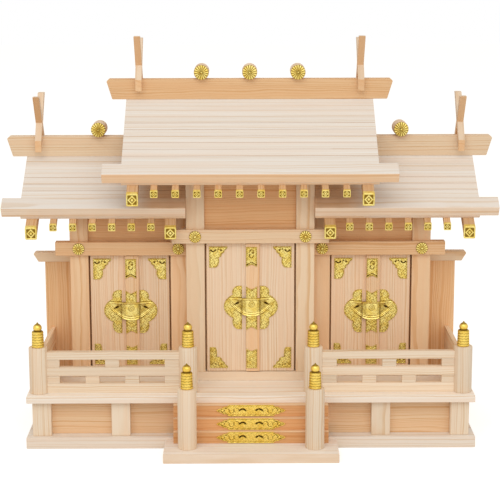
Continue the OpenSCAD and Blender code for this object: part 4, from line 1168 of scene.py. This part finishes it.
def lockRelief(z, x, rim):
    # from the lock's middle: a rail above a sunk slot, an eye at each end of the slot, a double lip below
    away, lip = np.abs(x), z - lipLevel(x)
    slot = np.clip(lip - lockSlot["bottom"], 0, 1) * np.clip(lockSlot["top"] - z, 0, 1)
    slot = slot * np.clip(lockSlot["outer"] - away, 0, 1) * np.clip(away - lockSlot["inner"], 0, 1)
    line = lines(lip, lockLip["lines"]) + lines(z, lockRail["over"])
    line = line + lines(z, lockRail["under"]) * (away < lockRail["underReach"])
    ridge = lines(lip, lockLip["ridges"]) + lines(z, lockRail["ridge"]) * (away < lockRail["ridgeReach"])
    flower = lines(np.hypot(x, z - lockFlower["height"]), lockFlower["rings"])
    # painted shade in the lines, slot, flower, scrolls and eyes, painted highlight on the ridges
    layers = ((pressedLine(rim, lock["border"]), 0.25, 0.4), (line, 0.3, 0.7), (ridge, -0.3, -0.6),
              (slot, 0.35, 0.45), (flower, 0.0, 0.7), (arcs(away, z, lockScrolls), 0.0, 0.4),
              (slantedEye(away, z), 0.6, 2.2))
    inside = (lip > -lockGround["below"]) & (z < lockBand["rail"])
    ground = np.where(inside, lockGround["inside"], lockGround["outside"])
    beaded = np.where(inside, lockGround["beadInside"], lockGround["beadOutside"])
    return pressedSheet(x, z, rim, lock, layers, ground, beaded)


def wingShell(leaf, middle, hand):
    # half of the lock on one leaf: a broad round wing with a lobe above it and one below
    inner = hand * (lock[hands[hand]] - lock["shift"])
    run = np.linspace(lock["bottom"], lock["top"], lock["stepsAlong"])
    wide = np.max([lobe(run, *row) for row in wingLobes], axis=0)

    def relief(z, x, rim):
        # the body of the lock rises towards the cover strip, to meet the band on it
        height, recess = lockRelief(z, x + inner, rim)
        body = np.clip((z - lipLevel(x + inner)) / lock["lipRamp"], 0, 1)
        body = body * np.clip((lockBand["rail"] - z) / lock["railRamp"], 0, 1)
        return height + lock["rise"] * body * np.clip(1 - x / lock["riseReach"], 0, 1), recess

    place = onFace(middle + hand * inner * mm, (leaf[0][2] + leaf[1][2]) / 2, leaf[0][1], hand)
    return plateShell(run, np.zeros_like(run), wide, lock["stepsAcross"], relief, place)


def bandShell(height, face, middle):
    # the lock's middle, on the cover strip: from wing to wing, down to the lip
    gap, rail = lockBand["gap"], lockBand["rail"]
    run = np.linspace(lock["left"] + gap, lock["right"] - gap, lockBand["stepsAlong"]) - lock["shift"]

    def relief(x, z, rim):
        # no rim at the ends, where the band meets the wings
        return lockRelief(z, x, np.minimum(rail - z, z - lipLevel(x)))

    def turn(grid):
        return onFace(middle, height, face)(grid[..., [1, 0, 2]])

    return plateShell(run, lipLevel(run), np.full_like(run, rail), lockBand["stepsAcross"], relief, turn,
                      lockBand["thick"])


stops = []
for door in doors:
    leaves = {hand: leafBoxes(f"{door}_{side}") for hand, side in hands.items()}
    middle = (leaves[-1][0][1][0] + leaves[1][0][0][0]) / 2 + lock["shift"] * mm
    for hand, side in hands.items():
        node = f"{door}_{side}"
        leaf, strip, pin = leaves[hand]
        dress(node, leafShells(leaf, pin), wood["door"])
        fittings = cornerShells(leaf, hand) + [wingShell(leaf, middle, hand)]
        if hand > 0:
            cover = slab(*strip, leafLook["soft"], plumb, "quarter")
            putPiece(node + "_strip", [cover], wood["strip"], node, slotOf[node])
            height, face = (leaf[0][2] + leaf[1][2]) / 2, strip[0][1]
            fittings += stripShells(strip, middle) + [bandShell(height, face, middle)]
            fittings.append(tailedPlate(lockPlate, (1, 1), plateRelief, onFace(middle, height, face)))
        putPiece(node + "_fittings", fittings, gilt["pale"], node, "gilt", smooth=plateLook["smooth"])
        stops.append(stopShell(leaf, hand))
putPiece("door_stops", stops, wood["panel"], "shrine", slotOf["centre_pillars"])
print("doors:", len(doors), "pairs with their fittings")


# Stage: pale floor that keeps the shadow, white behind, a soft warm sky, a key above, a fill from the right
stageLook = dict(sky=0.68, skyTint=(1.0, 0.95, 0.89), floorHalf=6.0, floorTint=(0.8, 0.8, 0.8), glow=0.5,
                 aim=(0.0, 0.0, 0.2))
lamps = {
    "key": dict(power=26.0, place=(-0.4, -2.1, 2.1), size=(2.6, 1.6)),
    "fill": dict(power=7.8, place=(1.1, -2.4, 1.4), size=(2.0, 1.4)),
}


def seenRays(tree):
    # camera, mirror and see-through rays find the white backdrop
    path = tree.nodes.new("ShaderNodeLightPath").outputs
    seen = calc(tree, "MAXIMUM", path["Is Camera Ray"], path["Is Glossy Ray"])
    return calc(tree, "MAXIMUM", seen, path["Is Transmission Ray"])


def floorMaterial():
    material = bpy.data.materials.new("paleFloor")
    material.use_nodes = True
    tree = material.node_tree
    tree.nodes.clear()
    paint = tree.nodes.new("ShaderNodeBsdfDiffuse")
    paint.inputs["Color"].default_value = (*stageLook["floorTint"], 1)
    glow = tree.nodes.new("ShaderNodeEmission")
    glow.inputs["Strength"].default_value = stageLook["glow"]
    lifted = tree.nodes.new("ShaderNodeAddShader")
    tree.links.new(paint.outputs[0], lifted.inputs[0])
    tree.links.new(glow.outputs[0], lifted.inputs[1])
    choice = tree.nodes.new("ShaderNodeMixShader")
    tree.links.new(seenRays(tree), choice.inputs[0])
    tree.links.new(paint.outputs[0], choice.inputs[1])
    tree.links.new(lifted.outputs[0], choice.inputs[2])
    tree.links.new(choice.outputs[0], tree.nodes.new("ShaderNodeOutputMaterial").inputs["Surface"])
    return material


def makeStage():
    half = stageLook["floorHalf"]
    corners = [(-half, -half, 0), (half, -half, 0), (half, half, 0), (-half, half, 0)]
    mesh = bpy.data.meshes.new("floor")
    mesh.from_pydata(corners, [], [(0, 1, 2, 3)])
    mesh.materials.append(floorMaterial())
    floor = bpy.data.objects.new("floor", mesh)
    bpy.context.scene.collection.objects.link(floor)
    world = bpy.data.worlds.new("studio")
    world.use_nodes = True
    bpy.context.scene.world = world
    tree = world.node_tree
    sky = tree.nodes["Background"]
    seen = seenRays(tree)
    plug(tree, blend(tree, seen, (*stageLook["skyTint"], 1), (1, 1, 1, 1)), sky.inputs["Color"])
    strength = calc(tree, "MULTIPLY_ADD", seen, 1 - stageLook["sky"], stageLook["sky"])
    plug(tree, strength, sky.inputs["Strength"])
    for name, look in lamps.items():
        lamp = bpy.data.lights.new(name, "AREA")
        lamp.shape = "RECTANGLE"
        lamp.size, lamp.size_y = look["size"]
        lamp.energy = look["power"]
        light = bpy.data.objects.new(name, lamp)
        light.location = look["place"]
        towards = Vector(stageLook["aim"]) - light.location
        light.rotation_euler = towards.to_track_quat("-Z", "Y").to_euler()
        bpy.context.scene.collection.objects.link(light)


makeStage()


# Camera as the photograph was taken, in mm and degrees
shot = dict(frame=500, focal=1590, place=(-8.0, -1728.0, 546.0), down=11.4, turn=0.26, roll=0.12)
lens = bpy.data.cameras.new("camera")
lens.sensor_width = 36.0
lens.lens = shot["focal"] / shot["frame"] * lens.sensor_width
camera = bpy.data.objects.new("camera", lens)
camera.matrix_world = (Matrix.Translation(Vector(shot["place"]) * mm)
                       @ Matrix.Rotation(math.radians(-shot["turn"]), 4, "Z")
                       @ Matrix.Rotation(math.radians(90 - shot["down"]), 4, "X")
                       @ Matrix.Rotation(math.radians(-shot["roll"]), 4, "Z"))
bpy.context.scene.collection.objects.link(camera)
bpy.context.scene.camera = camera
bpy.context.scene.view_settings.view_transform = "Standard"

bpy.context.view_layer.update()
